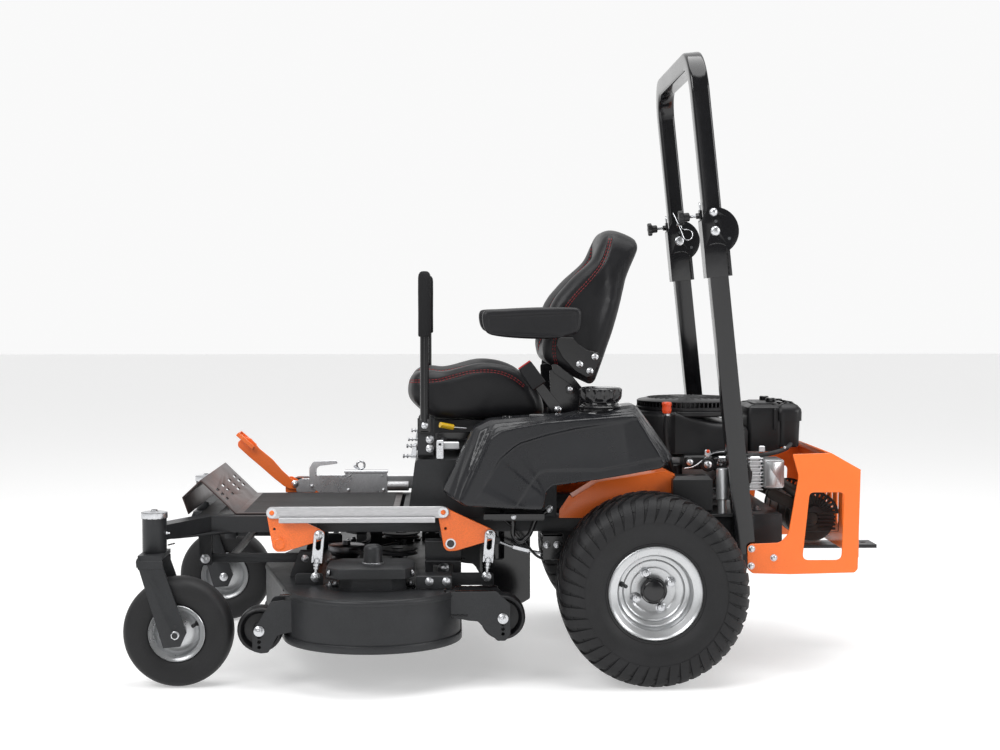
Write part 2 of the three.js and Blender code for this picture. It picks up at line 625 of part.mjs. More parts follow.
function beltCover(side) {
  const octagon = (half, cut) => outline([[-half, -half + cut], [-half + cut, -half], [half - cut, -half],
    [half, -half + cut], [half, half - cut], [half - cut, half], [-half + cut, half], [-half, half - cut]]);
  const bottom = DECK.top + GAP;
  const pieces = [plateZ(octagon(90, 38), bottom, 335), rodZ(25, 330, 370, 0, 0, 24)];
  const cuts = [plateZ(octagon(86, 36), bottom - 5, 331), rodZ(21, 325, 366, 0, 0, 20)];
  const [y0, y1] = side < 0 ? [60, 100] : [-100, -60];
  cuts.push(box(-48, 48, y0, y1, bottom - 5, 318));
  return build(pieces, cuts);
}

// ---------------------------------------------------------------- seat and controls
function seatBase() {
  const pieces = [box(-290, 120, -190, 190, 600, 612), box(-230, 80, -150, 150, 611, 676)];
  for (const [, s] of SIDES) pieces.push(box(-240, 90, s * 152, s * 186, 611, 686));
  pieces.push(box(-240, 90, -186, 186, 670, 678));
  return build(pieces);
}

function seatCushion() {
  const profile = outline([[-324, 792], [-297, 834], [-218, 832], [-101, 857], [-8, 838], [53, 773], [81, 717],
    [77, 693], [-256, 689], [-312, 731]]);
  return plateY(profile, -SEAT.cushionHalf, SEAT.cushionHalf);
}

function seatBackrest() {
  const profile = outline([[72, 848], [60, 909], [86, 1012], [133, 1077], [203, 1147], [231, 1212], [268, 1234],
    [338, 1208], [342, 1190], [310, 1091], [273, 951], [210, 782]]);
  return plateY(profile, -SEAT.backHalf, SEAT.backHalf);
}

function armrest(side) {
  const profile = outline([[-105, 992], [-95, 1003], [80, 1007], [165, 1004], [172, 990], [168, 936], [120, 917],
    [40, 917], [-88, 932], [-103, 945]]);
  return plateY(profile, side * SEAT.armInner, side * SEAT.armOuter);
}

function leverPivot(side) {
  const plate = box(-284, -240, side * 300, side * 312, 598, 700);
  const axle = rodY(8, side * 244, side * 308, -262, 608, 14);
  return build([plate, axle]);
}

function controlLever(side) {
  const { x, y, tube, grip, bottom, gripBottom, top } = LEVER;
  const pieces = [box(x - 15, x + 15, side * 313.2, side * 350, 662, 712)];
  pieces.push(rodZ(tube, bottom, top - 20, x, side * y, 12));
  pieces.push(rodZ(grip, gripBottom, top - 8, x, side * y, 14));
  pieces.push(rodZ(grip - 7, top - 9, top, x, side * y, 14));
  return build(pieces);
}

// ---------------------------------------------------------------- the assembled machine
const machine = new THREE.Group();
const chassis = new THREE.Group();
chassis.position.y = MID_PLANE_Y;
machine.add(chassis);

mesh('main_frame', mainFrame(), charcoalPaint(), chassis);
mesh('floor_pan', floorPan(), finish(0x3a3431, 0.45, 0.5), chassis);
mesh('seat_pedestal', seatPedestal(), charcoalPaint(), chassis);
mesh('fuel_tank', tank(-1), blackPlastic(), chassis);
mesh('side_console', tank(1), blackPlastic(), chassis);
mesh('fuel_cap', fuelCap(), blackPlastic(), chassis, [CAP.x, CAP.y, 0]);
mesh('engine_block', engineBlock(), castMetal(), chassis);
mesh('blower_housing', blowerHousing(), blackPlastic(), chassis);
mesh('air_cleaner', airCleaner(), blackPlastic(), chassis);
mesh('muffler', muffler(), castMetal(), chassis);
mesh('rear_guard', rearGuard(), orangePaint(), chassis);
mesh('twin_transaxle', twinTransaxle(), castMetal(), chassis);
mesh('height_selector', heightSelector(), zinc(), chassis);
mesh('deck_stabilizer', deckStabilizer(), charcoalPaint(), chassis);
mesh('front_lift_shaft', liftShaft(LIFT_FRONT), orangePaint(), chassis);
mesh('rear_lift_shaft', liftShaft(LIFT_REAR), orangePaint(), chassis);
mesh('lift_pedal', liftPedal(), orangePaint(), chassis);

const rollBar = new THREE.Group();
rollBar.position.set(ROPS.pivotX, 0, ROPS.pivotZ);
rollBar.rotation.y = -ROPS.lean;
chassis.add(rollBar);
mesh('rops_hoop', ropsHoop(), glossBlack(), rollBar);

const deck = new THREE.Group();
chassis.add(deck);
mesh('deck_shell', deckShell(), charcoalPaint(), deck);
mesh('discharge_chute', dischargeChute(), blackPlastic(), deck);
mesh('blade_spindle_center', bladeSpindle(0.9), castMetal(), deck, [...DECK.midPod, 0]);

const seat = new THREE.Group();
chassis.add(seat);
mesh('seat_base', seatBase(), charcoalPaint(), seat);
mesh('seat_cushion', seatCushion(), vinyl(), seat);
mesh('seat_backrest', seatBackrest(), vinyl(), seat);

for (const [name, side] of SIDES) {
  mesh(`fender_${name}`, fender(side), orangePaint(), chassis);
  mesh(`rops_post_${name}`, ropsPost(side), glossBlack(), rollBar);
  mesh(`rops_lock_pin_${name}`, lockPin(side), zinc(), rollBar);
  const hub = [DRIVE.x, side * DRIVE.y, DRIVE.z];
  mesh(`drive_rim_${name}`, driveRim(side), silverPaint(), chassis, hub);
  mesh(`drive_tyre_${name}`, driveTyre(), tyreRubber(), chassis, hub);
  const axle = [CASTER.x, side * CASTER.y, CASTER.z];
  mesh(`caster_fork_${name}`, casterFork(), charcoalPaint(), chassis, axle);
  mesh(`caster_rim_${name}`, casterRim(), silverPaint(), chassis, axle);
  mesh(`caster_tyre_${name}`, casterTyre(), tyreRubber(), chassis, axle);
  mesh(`lift_bar_${name}`, liftBar(side), zinc(), chassis);
  mesh(`hanger_link_front_${name}`, hangerLink(LIFT_FRONT, side), zinc(), deck);
  mesh(`hanger_link_rear_${name}`, hangerLink(LIFT_REAR, side), zinc(), deck);
  mesh(`anti_scalp_wheel_front_${name}`, scalpWheel(), blackPlastic(), deck,
    [SCALP.front[0], side * SCALP.y, SCALP.front[1]]);
  mesh(`anti_scalp_wheel_rear_${name}`, scalpWheel(), blackPlastic(), deck,
    [SCALP.rear[0], side * SCALP.y, SCALP.rear[1]]);
  const pod = [DECK.sidePod[0], side * DECK.sidePod[1], 0];
  mesh(`blade_spindle_${name}`, bladeSpindle(0.3 * side), castMetal(), deck, pod);
  mesh(`belt_cover_${name}`, beltCover(side), blackPlastic(), deck, pod);
  mesh(`armrest_${name}`, armrest(side), vinyl(), seat);
  mesh(`lever_pivot_${name}`, leverPivot(side), charcoalPaint(), chassis);
  mesh(`control_lever_${name}`, controlLever(side), foam(), chassis);
}

export default machine;
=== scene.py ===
import math
import random

import bmesh
import bpy
from mathutils import Matrix, Vector
from mathutils.bvhtree import BVHTree
from mathutils.geometry import tessellate_polygon
from mathutils.kdtree import KDTree


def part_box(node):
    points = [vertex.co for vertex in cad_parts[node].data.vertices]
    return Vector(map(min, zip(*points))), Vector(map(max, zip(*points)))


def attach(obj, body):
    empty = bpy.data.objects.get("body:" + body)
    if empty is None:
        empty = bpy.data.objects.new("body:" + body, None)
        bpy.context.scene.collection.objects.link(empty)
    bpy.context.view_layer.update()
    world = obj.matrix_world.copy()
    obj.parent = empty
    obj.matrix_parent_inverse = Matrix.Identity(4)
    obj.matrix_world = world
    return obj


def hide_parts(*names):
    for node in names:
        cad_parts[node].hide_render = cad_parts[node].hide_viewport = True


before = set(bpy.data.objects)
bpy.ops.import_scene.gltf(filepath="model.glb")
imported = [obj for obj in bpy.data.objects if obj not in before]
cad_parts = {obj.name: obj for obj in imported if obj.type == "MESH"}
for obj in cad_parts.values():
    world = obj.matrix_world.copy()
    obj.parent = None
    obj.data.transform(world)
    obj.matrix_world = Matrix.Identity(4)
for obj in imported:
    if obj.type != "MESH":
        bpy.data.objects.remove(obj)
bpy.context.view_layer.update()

scene = bpy.context.scene
random.seed(7)

# All shapes below are given in millimetres in the machine's own frame: X rearward, Y from the mid-plane
# to the machine's right, Z up from the ground.
MM = 0.001
FRAME_LOW, FRAME_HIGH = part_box("main_frame")
MID_PLANE = (FRAME_LOW.y + FRAME_HIGH.y) / 2
SIDES = (("left", -1), ("right", 1))


def place(p):
    return Vector((p[0] * MM, p[1] * MM + MID_PLANE, p[2] * MM))


# ------------------------------------------------------------------ camera, light, floor
def make_stage():
    camera_data = bpy.data.cameras.new("camera")
    camera_data.lens = 61.2
    camera_data.sensor_width = 36.0
    camera = bpy.data.objects.new("camera", camera_data)
    scene.collection.objects.link(camera)
    camera.location = (-0.194, MID_PLANE - 5.0, 1.012)
    look = Vector((50.0, 1701.0, -70.0))
    camera.rotation_euler = look.to_track_quat("-Z", "Y").to_euler()
    scene.camera = camera

    world = bpy.data.worlds.new("studio")
    world.use_nodes = True
    tree = world.node_tree
    backdrop = tree.nodes["Background"]
    backdrop.inputs["Strength"].default_value = 1.0
    direction = tree.nodes.new("ShaderNodeTexCoord")
    parts = tree.nodes.new("ShaderNodeSeparateXYZ")
    spread = tree.nodes.new("ShaderNodeMapRange")
    spread.interpolation_type = "SMOOTHSTEP"
    for socket, value in (("From Min", -0.6), ("From Max", 0.6), ("To Min", 0.16), ("To Max", 0.95)):
        spread.inputs[socket].default_value = value
    tree.links.new(direction.outputs["Generated"], parts.inputs["Vector"])
    tree.links.new(parts.outputs["Y"], spread.inputs["Value"])
    tree.links.new(spread.outputs["Result"], backdrop.inputs["Color"])
    scene.world = world
    scene.view_settings.view_transform = "Standard"

    floor_mesh = bpy.data.meshes.new("floor")
    half = 30.0
    floor_mesh.from_pydata([(-half, -half, 0), (half, -half, 0), (half, half, 0), (-half, half, 0)], [],
                           [(0, 1, 2, 3)])
    floor = bpy.data.objects.new("floor", floor_mesh)
    scene.collection.objects.link(floor)
    floor_mesh.materials.append(surface("floor_paint", (0.66, 0.66, 0.66), rough=0.7, tint=0.012,
            rough_swing=0.03))
    paint = floor_mesh.materials[0].node_tree.nodes["Principled BSDF"]
    paint.inputs["Emission Color"].default_value = (1, 1, 1, 1)
    paint.inputs["Emission Strength"].default_value = 0.42

    for name, where, aim, size, power in (
            ("key", (-3.2, -3.6, 4.2), (0, 0, 0.5), 3.0, 200),
            ("top", (0.6, -0.6, 4.6), (0, -0.1, 0.5), 3.4, 130),
            ("rear_fill", (3.8, -2.6, 2.2), (0.3, 0, 0.6), 2.2, 80),
            ("low_fill", (-0.6, -4.6, 1.0), (0, 0, 0.4), 2.4, 12)):
        light_data = bpy.data.lights.new(name, "AREA")
        light_data.shape = "SQUARE"
        light_data.size = size
        light_data.energy = power
        light = bpy.data.objects.new(name, light_data)
        light.location = where
        light.rotation_euler = (Vector(aim) - Vector(where)).to_track_quat("-Z", "Y").to_euler()
        scene.collection.objects.link(light)


# ------------------------------------------------------------------ materials
def surface(name, color, rough=0.5, metal=0.0, grain=0.0, bump=0.0, tint=0.12, rough_swing=0.08, coat=0.0,
            second=None, blotch=7.0, specular=0.5, brushed=None):
    """A principled material with colour drift, roughness drift and a bump grain.
    second is a colour that shows through in worn patches; brushed stretches the grain along X."""
    material = bpy.data.materials.new(name)
    material.use_nodes = True
    nodes = material.node_tree.nodes
    links = material.node_tree.links
    shader = nodes["Principled BSDF"]
    shader.inputs["Metallic"].default_value = metal
    shader.inputs["Specular IOR Level"].default_value = specular
    shader.inputs["Coat Weight"].default_value = coat
    shader.inputs["Coat Roughness"].default_value = 0.12
    coords = nodes.new("ShaderNodeTexCoord")

    drift = nodes.new("ShaderNodeTexNoise")
    drift.inputs["Scale"].default_value = blotch
    drift.inputs["Detail"].default_value = 6.0
    drift.inputs["Roughness"].default_value = 0.65
    links.new(coords.outputs["Object"], drift.inputs["Vector"])
    ramp = nodes.new("ShaderNodeValToRGB")
    ramp.color_ramp.elements[0].position = 0.3
    ramp.color_ramp.elements[1].position = 0.7
    ramp.color_ramp.elements[0].color = (*[c * (1 - tint) for c in color], 1)
    ramp.color_ramp.elements[1].color = (*[min(c * (1 + tint), 1) for c in color], 1)
    links.new(drift.outputs["Fac"], ramp.inputs["Fac"])
    color_out = ramp.outputs["Color"]

    if grain:
        fine = nodes.new("ShaderNodeTexNoise")
        fine.inputs["Scale"].default_value = grain
        fine.inputs["Detail"].default_value = 3.0
        fine.inputs["Roughness"].default_value = 0.6
        if brushed:
            stretch = nodes.new("ShaderNodeMapping")
            stretch.inputs["Scale"].default_value = brushed
            links.new(coords.outputs["Object"], stretch.inputs["Vector"])
            links.new(stretch.outputs["Vector"], fine.inputs["Vector"])
        else:
            links.new(coords.outputs["Object"], fine.inputs["Vector"])
        bump_node = nodes.new("ShaderNodeBump")
        bump_node.inputs["Strength"].default_value = bump
        bump_node.inputs["Distance"].default_value = 0.0006
        links.new(fine.outputs["Fac"], bump_node.inputs["Height"])
        links.new(bump_node.outputs["Normal"], shader.inputs["Normal"])
        speckle = nodes.new("ShaderNodeMix")
        speckle.data_type = "RGBA"
        speckle.blend_type = "MULTIPLY"
        speckle.inputs["Factor"].default_value = 0.35
        links.new(color_out, speckle.inputs[6])
        gray = nodes.new("ShaderNodeValToRGB")
        gray.color_ramp.elements[0].position = 0.32
        gray.color_ramp.elements[1].position = 0.62
        gray.color_ramp.elements[0].color = (0.45, 0.45, 0.45, 1)
        gray.color_ramp.elements[1].color = (1, 1, 1, 1)
        links.new(fine.outputs["Fac"], gray.inputs["Fac"])
        links.new(gray.outputs["Color"], speckle.inputs[7])
        color_out = speckle.outputs[2]

    if second:
        worn = nodes.new("ShaderNodeTexNoise")
        worn.inputs["Scale"].default_value = 26.0
        worn.inputs["Detail"].default_value = 8.0
        links.new(coords.outputs["Object"], worn.inputs["Vector"])
        patch = nodes.new("ShaderNodeMapRange")
        patch.inputs["From Min"].default_value = 0.62
        patch.inputs["From Max"].default_value = 0.72
        links.new(worn.outputs["Fac"], patch.inputs["Value"])
        mix = nodes.new("ShaderNodeMix")
        mix.data_type = "RGBA"
        links.new(patch.outputs["Result"], mix.inputs["Factor"])
        links.new(color_out, mix.inputs[6])
        mix.inputs[7].default_value = (*second, 1)
        color_out = mix.outputs[2]

    links.new(color_out, shader.inputs["Base Color"])
    gloss = nodes.new("ShaderNodeMapRange")
    gloss.inputs["From Min"].default_value = 0.3
    gloss.inputs["From Max"].default_value = 0.7
    gloss.inputs["To Min"].default_value = max(rough - rough_swing, 0.03)
    gloss.inputs["To Max"].default_value = min(rough + rough_swing, 1.0)
    links.new(drift.outputs["Fac"], gloss.inputs["Value"])
    links.new(gloss.outputs["Result"], shader.inputs["Roughness"])
    return material


def make_materials():
    m = {}
    m["charcoal"] = surface("charcoal_powder_coat", (0.022, 0.023, 0.025), rough=0.42, metal=0.25, grain=380,
                            bump=0.7, tint=0.25, rough_swing=0.07, specular=0.4)
    m["pan"] = surface("dark_steel_sheen", (0.075, 0.052, 0.05), rough=0.36, metal=0.75, grain=500, bump=0.25,
                       tint=0.3, brushed=(0.2, 1.0, 1.0))
    m["orange"] = surface("orange_powder_coat", (0.93, 0.17, 0.018), rough=0.36, grain=420, bump=0.05,
            tint=0.05,
                          rough_swing=0.05, coat=0.15)
    m["gloss_black"] = surface("gloss_black_paint", (0.006, 0.006, 0.007), rough=0.16, grain=60, bump=0.03,
                               tint=0.2, rough_swing=0.05, coat=0.25, specular=0.4)
    m["tank"] = surface("black_plastic", (0.008, 0.0085, 0.0105), rough=0.27, grain=420, bump=0.16, tint=0.22,
                        rough_swing=0.06, specular=0.38)
    m["engine_plastic"] = surface("engine_plastic", (0.009, 0.009, 0.01), rough=0.38, grain=600, bump=0.12,
                                  tint=0.2, specular=0.35)
    m["aluminium"] = surface("engine_aluminium", (0.55, 0.55, 0.56), rough=0.32, metal=0.9, grain=500,
            bump=0.2,
                             tint=0.15)
    m["exhaust"] = surface("dark_exhaust", (0.05, 0.047, 0.044), rough=0.5, metal=0.8, grain=300, bump=0.25,
                           tint=0.35, second=(0.11, 0.06, 0.035))
    m["cast"] = surface("cast_grey", (0.075, 0.078, 0.082), rough=0.55, metal=0.6, grain=350, bump=0.5,
            tint=0.25)
    m["zinc"] = surface("zinc", (0.62, 0.63, 0.65), rough=0.3, metal=0.95, grain=300, bump=0.12, tint=0.14,
                        rough_swing=0.1)
    m["bar"] = surface("brushed_bar", (0.5, 0.5, 0.51), rough=0.36, metal=0.95, grain=900, bump=0.2, tint=0.1,
                       brushed=(0.06, 1.0, 1.0))
    m["blade"] = surface("blade_steel", (0.22, 0.22, 0.23), rough=0.35, metal=0.95, grain=700, bump=0.3,
                         second=(0.12, 0.06, 0.03), brushed=(1.0, 0.1, 1.0))
    m["rim"] = surface("silver_rim_paint", (0.56, 0.57, 0.58), rough=0.3, metal=0.75, grain=700, bump=0.08,
                       tint=0.06, rough_swing=0.05)
    m["tyre"] = surface("tyre_rubber", (0.014, 0.014, 0.015), rough=0.56, grain=260, bump=0.18, tint=0.3,
                        rough_swing=0.1, specular=0.28)
    m["rubber"] = surface("black_rubber", (0.014, 0.014, 0.015), rough=0.55, grain=300, bump=0.15, tint=0.25)
    m["vinyl"] = surface("seat_vinyl", (0.009, 0.009, 0.0105), rough=0.42, grain=330, bump=0.3, tint=0.15,
                         rough_swing=0.05, specular=0.3)
    m["stitch"] = surface("stitching", (0.3, 0.012, 0.016), rough=0.7, grain=1500, bump=0.3, tint=0.2)
    m["foam"] = surface("grip_foam", (0.011, 0.011, 0.012), rough=0.85, grain=900, bump=0.5, tint=0.25,
                        specular=0.25)
    m["yellow"] = surface("yellow_grip", (0.85, 0.52, 0.01), rough=0.4, grain=300, bump=0.05, tint=0.06)
    m["red"] = surface("red_plastic", (0.45, 0.012, 0.01), rough=0.35, grain=300, bump=0.05, tint=0.08)
    m["red_orange"] = surface("dipstick_red", (0.75, 0.08, 0.02), rough=0.35, grain=200, bump=0.05, tint=0.1)
    m["belt"] = surface("belt_rubber", (0.015, 0.015, 0.016), rough=0.7, grain=500, bump=0.3)
    m["webbing"] = surface("belt_webbing", (0.014, 0.014, 0.015), rough=0.8, grain=700, bump=0.6,
                           brushed=(1.0, 6.0, 1.0))
    return m


make_stage()
MAT = make_materials()


# ------------------------------------------------------------------ shape helpers: (points, faces) in mm
def merged(shapes):
    points, faces = [], []
    for shape_points, shape_faces in shapes:
        start = len(points)
        points.extend(shape_points)
        faces.extend([tuple(i + start for i in face) for face in shape_faces])
    return points, faces


def moved(shape, matrix):
    points, faces = shape
    return [tuple(matrix @ Vector(p)) for p in points], faces


def loop_area(loop):
    return sum(a[0] * b[1] - b[0] * a[1] for a, b in zip(loop, loop[1:] + loop[:1])) / 2


def shrunk(loop, amount):
    """The loop moved to its left by amount at every corner."""
    out = []
    count = len(loop)
    for i, p in enumerate(loop):
        before, after = loop[i - 1], loop[(i + 1) % count]
        d1 = Vector((p[0] - before[0], p[1] - before[1])).normalized()
        d2 = Vector((after[0] - p[0], after[1] - p[1])).normalized()
        n1, n2 = Vector((-d1.y, d1.x)), Vector((-d2.y, d2.x))
        miter = n1 + n2
        if miter.length < 1e-6:
            miter = n1.copy()
        miter.normalize()
        reach = amount / max(miter.dot(n1), 0.35)
        out.append((p[0] + miter.x * reach, p[1] + miter.y * reach))
    return out


def axis_map(plane):
    return {"y": lambda u, v, w: (u, w, v), "z": lambda u, v, w: (u, v, w), "x": lambda u, v, w: (w, u,
            v)}[plane]


def plate(outer, plane, low, high, holes=(), edge=1.0):
    """A plate with a rounded edge. plane names the axis of its thickness; outer is in the other two axes."""
    low, high = min(low, high), max(low, high)
    loops = [list(outer)] + [list(h) for h in holes]
    for i, loop in enumerate(loops):
        if (loop_area(loop) > 0) != (i == 0):
            loop.reverse()
    put = axis_map(plane)
    points, faces = [], []
    rings = []
    for loop in loops:
        inset = shrunk(loop, edge)
        stack = []
        for level, ring in ((low, inset), (low + edge, loop), (high - edge, loop), (high, inset)):
            stack.append(list(range(len(points), len(points) + len(ring))))
            points.extend(put(u, v, level) for u, v in ring)
        rings.append(stack)
        count = len(loop)
        for lower, upper in zip(stack, stack[1:]):
            for i in range(count):
                j = (i + 1) % count
                faces.append((lower[i], lower[j], upper[j], upper[i]))
    for level in (0, 3):
        flat = [[Vector((*loop_points, 0.0)) for loop_points in shrunk(loop, edge)] for loop in loops]
        index = [i for stack in rings for i in stack[level]]
        if not holes:
            face = tuple(index)
            faces.append(face if level == 3 else face[::-1])
            continue
        for tri in tessellate_polygon(flat):
            a, b, c = (index[i] for i in tri)
            pa, pb, pc = (sum(flat, [])[i] for i in tri)
            up = (pb - pa).cross(pc - pa).z > 0
            faces.append((a, b, c) if up == (level == 3) else (c, b, a))
    if plane == "y":
        faces = [f[::-1] for f in faces]
    return points, faces


def rounded(corners, radius, steps=4):
    """The outline with each corner turned into an arc. radius may be one number or one for each corner."""
    out = []
    count = len(corners)
    for i, corner in enumerate(corners):
        r = radius[i] if isinstance(radius, (list, tuple)) else radius
        p = Vector(corner)
        a, b = Vector(corners[i - 1]), Vector(corners[(i + 1) % count])
        da, db = (a - p), (b - p)
        la, lb = da.length, db.length
        da.normalize()
        db.normalize()
        half = da.angle(db) / 2
        if r <= 0 or half > 1.55 or half < 0.02:
            out.append(tuple(p))
            continue
        cut = min(r / math.tan(half), la * 0.49, lb * 0.49)
        start, end = p + da * cut, p + db * cut
        for k in range(steps + 1):
            t = k / steps
            q = start * (1 - t) ** 2 + p * 2 * t * (1 - t) + end * t ** 2
            out.append(tuple(q))
    return out


def circle(cx, cy, radius, count=16, start=0.0):
    return [(cx + radius * math.cos(start + 2 * math.pi * i / count),
             cy + radius * math.sin(start + 2 * math.pi * i / count)) for i in range(count)]


def arc(centre, radius, start, end, count):
    return [(centre[0] + radius * math.cos(start + (end - start) * k / count),
             centre[1] + radius * math.sin(start + (end - start) * k / count)) for k in range(count + 1)]


def slot_loop(a, b, radius, steps=6):
    angle = math.atan2(b[1] - a[1], b[0] - a[0])
    out = []
    for centre, base in ((b, angle - math.pi / 2), (a, angle + math.pi / 2)):
        for k in range(steps + 1):
            t = base + math.pi * k / steps
            out.append((centre[0] + radius * math.cos(t), centre[1] + radius * math.sin(t)))
    return out


def block(x0, x1, y0, y1, z0, z1, edge=1.5):
    y0, y1 = min(y0, y1), max(y0, y1)
    return plate([(x0, y0), (x1, y0), (x1, y1), (x0, y1)], "z", z0, z1, edge=edge)


def turned(profile, axis, centre, segments=32, closed=False):
    """A profile of (radius, distance along the axis) spun about the axis through centre."""
    points, faces = [], []
    count = len(profile)
    for s in range(segments):
        angle = 2 * math.pi * s / segments
        c, n = math.cos(angle), math.sin(angle)
        for r, h in profile:
            p = {"x": (h, r * c, r * n), "y": (r * n, h, r * c), "z": (r * c, r * n, h)}[axis]
            points.append(tuple(p[i] + centre[i] for i in range(3)))
    last = count if closed else count - 1
    for s in range(segments):
        t = (s + 1) % segments
        for i in range(last):
            j = (i + 1) % count
            faces.append((s * count + i, t * count + i, t * count + j, s * count + j))
    return points, faces


def smooth_path(points, per_span=6):
    """A Catmull-Rom curve through the points."""
    pts = [Vector(p) for p in points]
    pts = [pts[0] * 2 - pts[1]] + pts + [pts[-1] * 2 - pts[-2]]
    out = []
    for i in range(1, len(pts) - 2):
        p0, p1, p2, p3 = pts[i - 1:i + 3]
        for k in range(per_span):
            t = k / per_span
            out.append(0.5 * ((2 * p1) + (p2 - p0) * t + (2 * p0 - 5 * p1 + 4 * p2 - p3) * t ** 2
                              + (3 * p1 - p0 - 3 * p2 + p3) * t ** 3))
    out.append(pts[-2])
    return out


def swept(path, section, closed_ends=True, first_normal=None):
    """A section (u, v) carried along a path of points, turning as little as it can."""
    path = [Vector(p) for p in path]
    count = len(section)
    points, faces = [], []
    normal = None
    for i, p in enumerate(path):
        ahead = path[min(i + 1, len(path) - 1)] - path[max(i - 1, 0)]
        ahead.normalize()
        if normal is None:
            base = Vector(first_normal) if first_normal else (
                Vector((0, 0, 1)) if abs(ahead.z) < 0.9 else Vector((1, 0, 0)))
            normal = (base - ahead * base.dot(ahead)).normalized()
        else:
            normal = (normal - ahead * normal.dot(ahead)).normalized()
        side = ahead.cross(normal)
        for u, v in section:
            points.append(tuple(p + normal * u + side * v))
    for i in range(len(path) - 1):
        for k in range(count):
            j = (k + 1) % count
            a, b = i * count, (i + 1) * count
            faces.append((a + k, a + j, b + j, b + k))
    if closed_ends:
        faces.append(tuple(range(count))[::-1])
        faces.append(tuple(range((len(path) - 1) * count, len(path) * count)))
    return points, faces


def tube(path, radius, segments=10):
    return swept(path, circle(0, 0, radius, segments))


def rod(axis, radius, start, end, centre, segments=24, edge=1.0):
    """A round bar with chamfered ends, from start to end along the axis."""
    start, end = min(start, end), max(start, end)
    profile = [(0.01, start), (radius - edge, start), (radius, start + edge), (radius, end - edge),
               (radius - edge, end), (0.01, end)]
    base = [0 if "xyz"[i] == axis else centre[i] for i in range(3)]
    return turned(profile, axis, base, segments)


def bolt(centre, axis, sign=1, across=7.5, head=6.0, washer=12.0, nut=True):
    """A hex head on a washer, standing out along sign times the axis, seen from outside."""
    shapes = []
    base = [0 if "xyz"[i] == axis else centre[i] for i in range(3)]
    along = centre["xyz".index(axis)]

    def levels(values):
        return [(r, along + sign * h) for r, h in values]

    shapes.append(turned(levels([(0.01, 0), (washer, 0), (washer, 1.6), (washer - 0.8, 2.2), (0.01, 2.2)]),
            axis,
                         base, 20))
    shapes.append(turned(levels([(0.01, 2.2), (across, 2.2), (across, 1.8 + head),
            (across * 0.86, 2.4 + head),
                                 (0.01, 2.4 + head)]), axis, base, 6))
    if nut:
        stud = across * 0.52
        shapes.append(turned(levels([(0.01, 2 + head), (stud, 2 + head), (stud, 4.4 + head),
                                     (stud - 1, 5.2 + head), (0.01, 5.2 + head)]), axis, base, 14))
    return merged(shapes)


def piece(name, shapes, material, body, replaces=(), sharp=40.0):
    """Makes one object from shapes, gives it its material and puts it on its body."""
    points, faces = merged(shapes) if isinstance(shapes, list) else shapes
    mesh = bpy.data.meshes.new(name)
    mesh.from_pydata([place(p) for p in points], [], faces)
    obj = bpy.data.objects.new(name, mesh)
    scene.collection.objects.link(obj)
    tidy_mesh(mesh)
    finish_piece(obj, material, body, replaces, sharp)
    return obj


def tidy_mesh(mesh):
    bm = bmesh.new()
    bm.from_mesh(mesh)
    bmesh.ops.remove_doubles(bm, verts=bm.verts, dist=0.00002)
    bmesh.ops.recalc_face_normals(bm, faces=bm.faces)
    bm.to_mesh(mesh)
    bm.free()


def finish_piece(obj, material, body, replaces=(), sharp=40.0):
    mesh = obj.data
    mesh.materials.clear()
    mesh.materials.append(MAT[material])
    mesh.polygons.foreach_set("use_smooth", [True] * len(mesh.polygons))
    mesh.set_sharp_from_angle(angle=math.radians(sharp))
    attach(obj, body)
    if replaces:
        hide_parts(*replaces)


def carry(node, material, edge=1.2, segments=2):
    """Keeps a CAD node's shape: softens its edges and gives it its material."""
    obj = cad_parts[node]
    obj.data.materials.clear()
    obj.data.materials.append(MAT[material])
    for name in [a.name for a in obj.data.attributes if a.name == "custom_normal"]:
        obj.data.attributes.remove(obj.data.attributes[name])
    obj.data.polygons.foreach_set("use_smooth", [True] * len(obj.data.polygons))
    weld = obj.modifiers.new("weld", "WELD")
    weld.merge_threshold = 0.00003
    if edge:
        bevel = obj.modifiers.new("edge", "BEVEL")
        bevel.width = edge * MM
        bevel.segments = segments
        bevel.limit_method = "ANGLE"
        bevel.angle_limit = math.radians(32)
    split = obj.modifiers.new("split", "EDGE_SPLIT")
    split.split_angle = math.radians(33)
    split.use_edge_sharp = False
    return obj


# ------------------------------------------------------------------ nodes whose CAD shape stays
CARRIED = {
    "charcoal": ["main_frame", "seat_pedestal", "deck_stabilizer", "seat_base", "lever_pivot_left",
                 "lever_pivot_right", "caster_fork_left", "caster_fork_right"],
    "pan": ["floor_pan"],
    "orange": ["fender_left", "fender_right"],
    "gloss_black": ["rops_post_left", "rops_post_right"],
    "cast": ["twin_transaxle"],
    "exhaust": ["muffler"],
    "engine_plastic": ["discharge_chute"],
    "blade": ["blade_spindle_center", "blade_spindle_left", "blade_spindle_right"],
}
THIN = {"floor_pan": 0.8, "discharge_chute": 1.0, "twin_transaxle": 5.0, "caster_fork_left": 2.2,
        "caster_fork_right": 2.2, "rops_post_left": 2.6, "rops_post_right": 2.6, "main_frame": 2.2}
for carried_material, carried_nodes in CARRIED.items():
    for carried_node in carried_nodes:
        carry(carried_node, carried_material, edge=THIN.get(carried_node, 1.2))


# ------------------------------------------------------------------ wheels
def carcass_curve(points, per_span=5):
    """A smooth half section of (radius, half width) points, from the bead to the crown."""
    return [(p.x, p.y) for p in smooth_path([(r, y, 0) for r, y in points], per_span)]


def ring_body(half, centre, segments, wall):
    """A tyre: the half section mirrored, with an inner wall so that the mesh closes at the beads."""
    outer = half + [(r, -y) for r, y in reversed(half[:-1])]
    inner = [(max(r - wall, half[0][0] - 1), y * 0.86) for r, y in reversed(outer)]
    return turned(outer + inner, "y", centre, segments, closed=True)


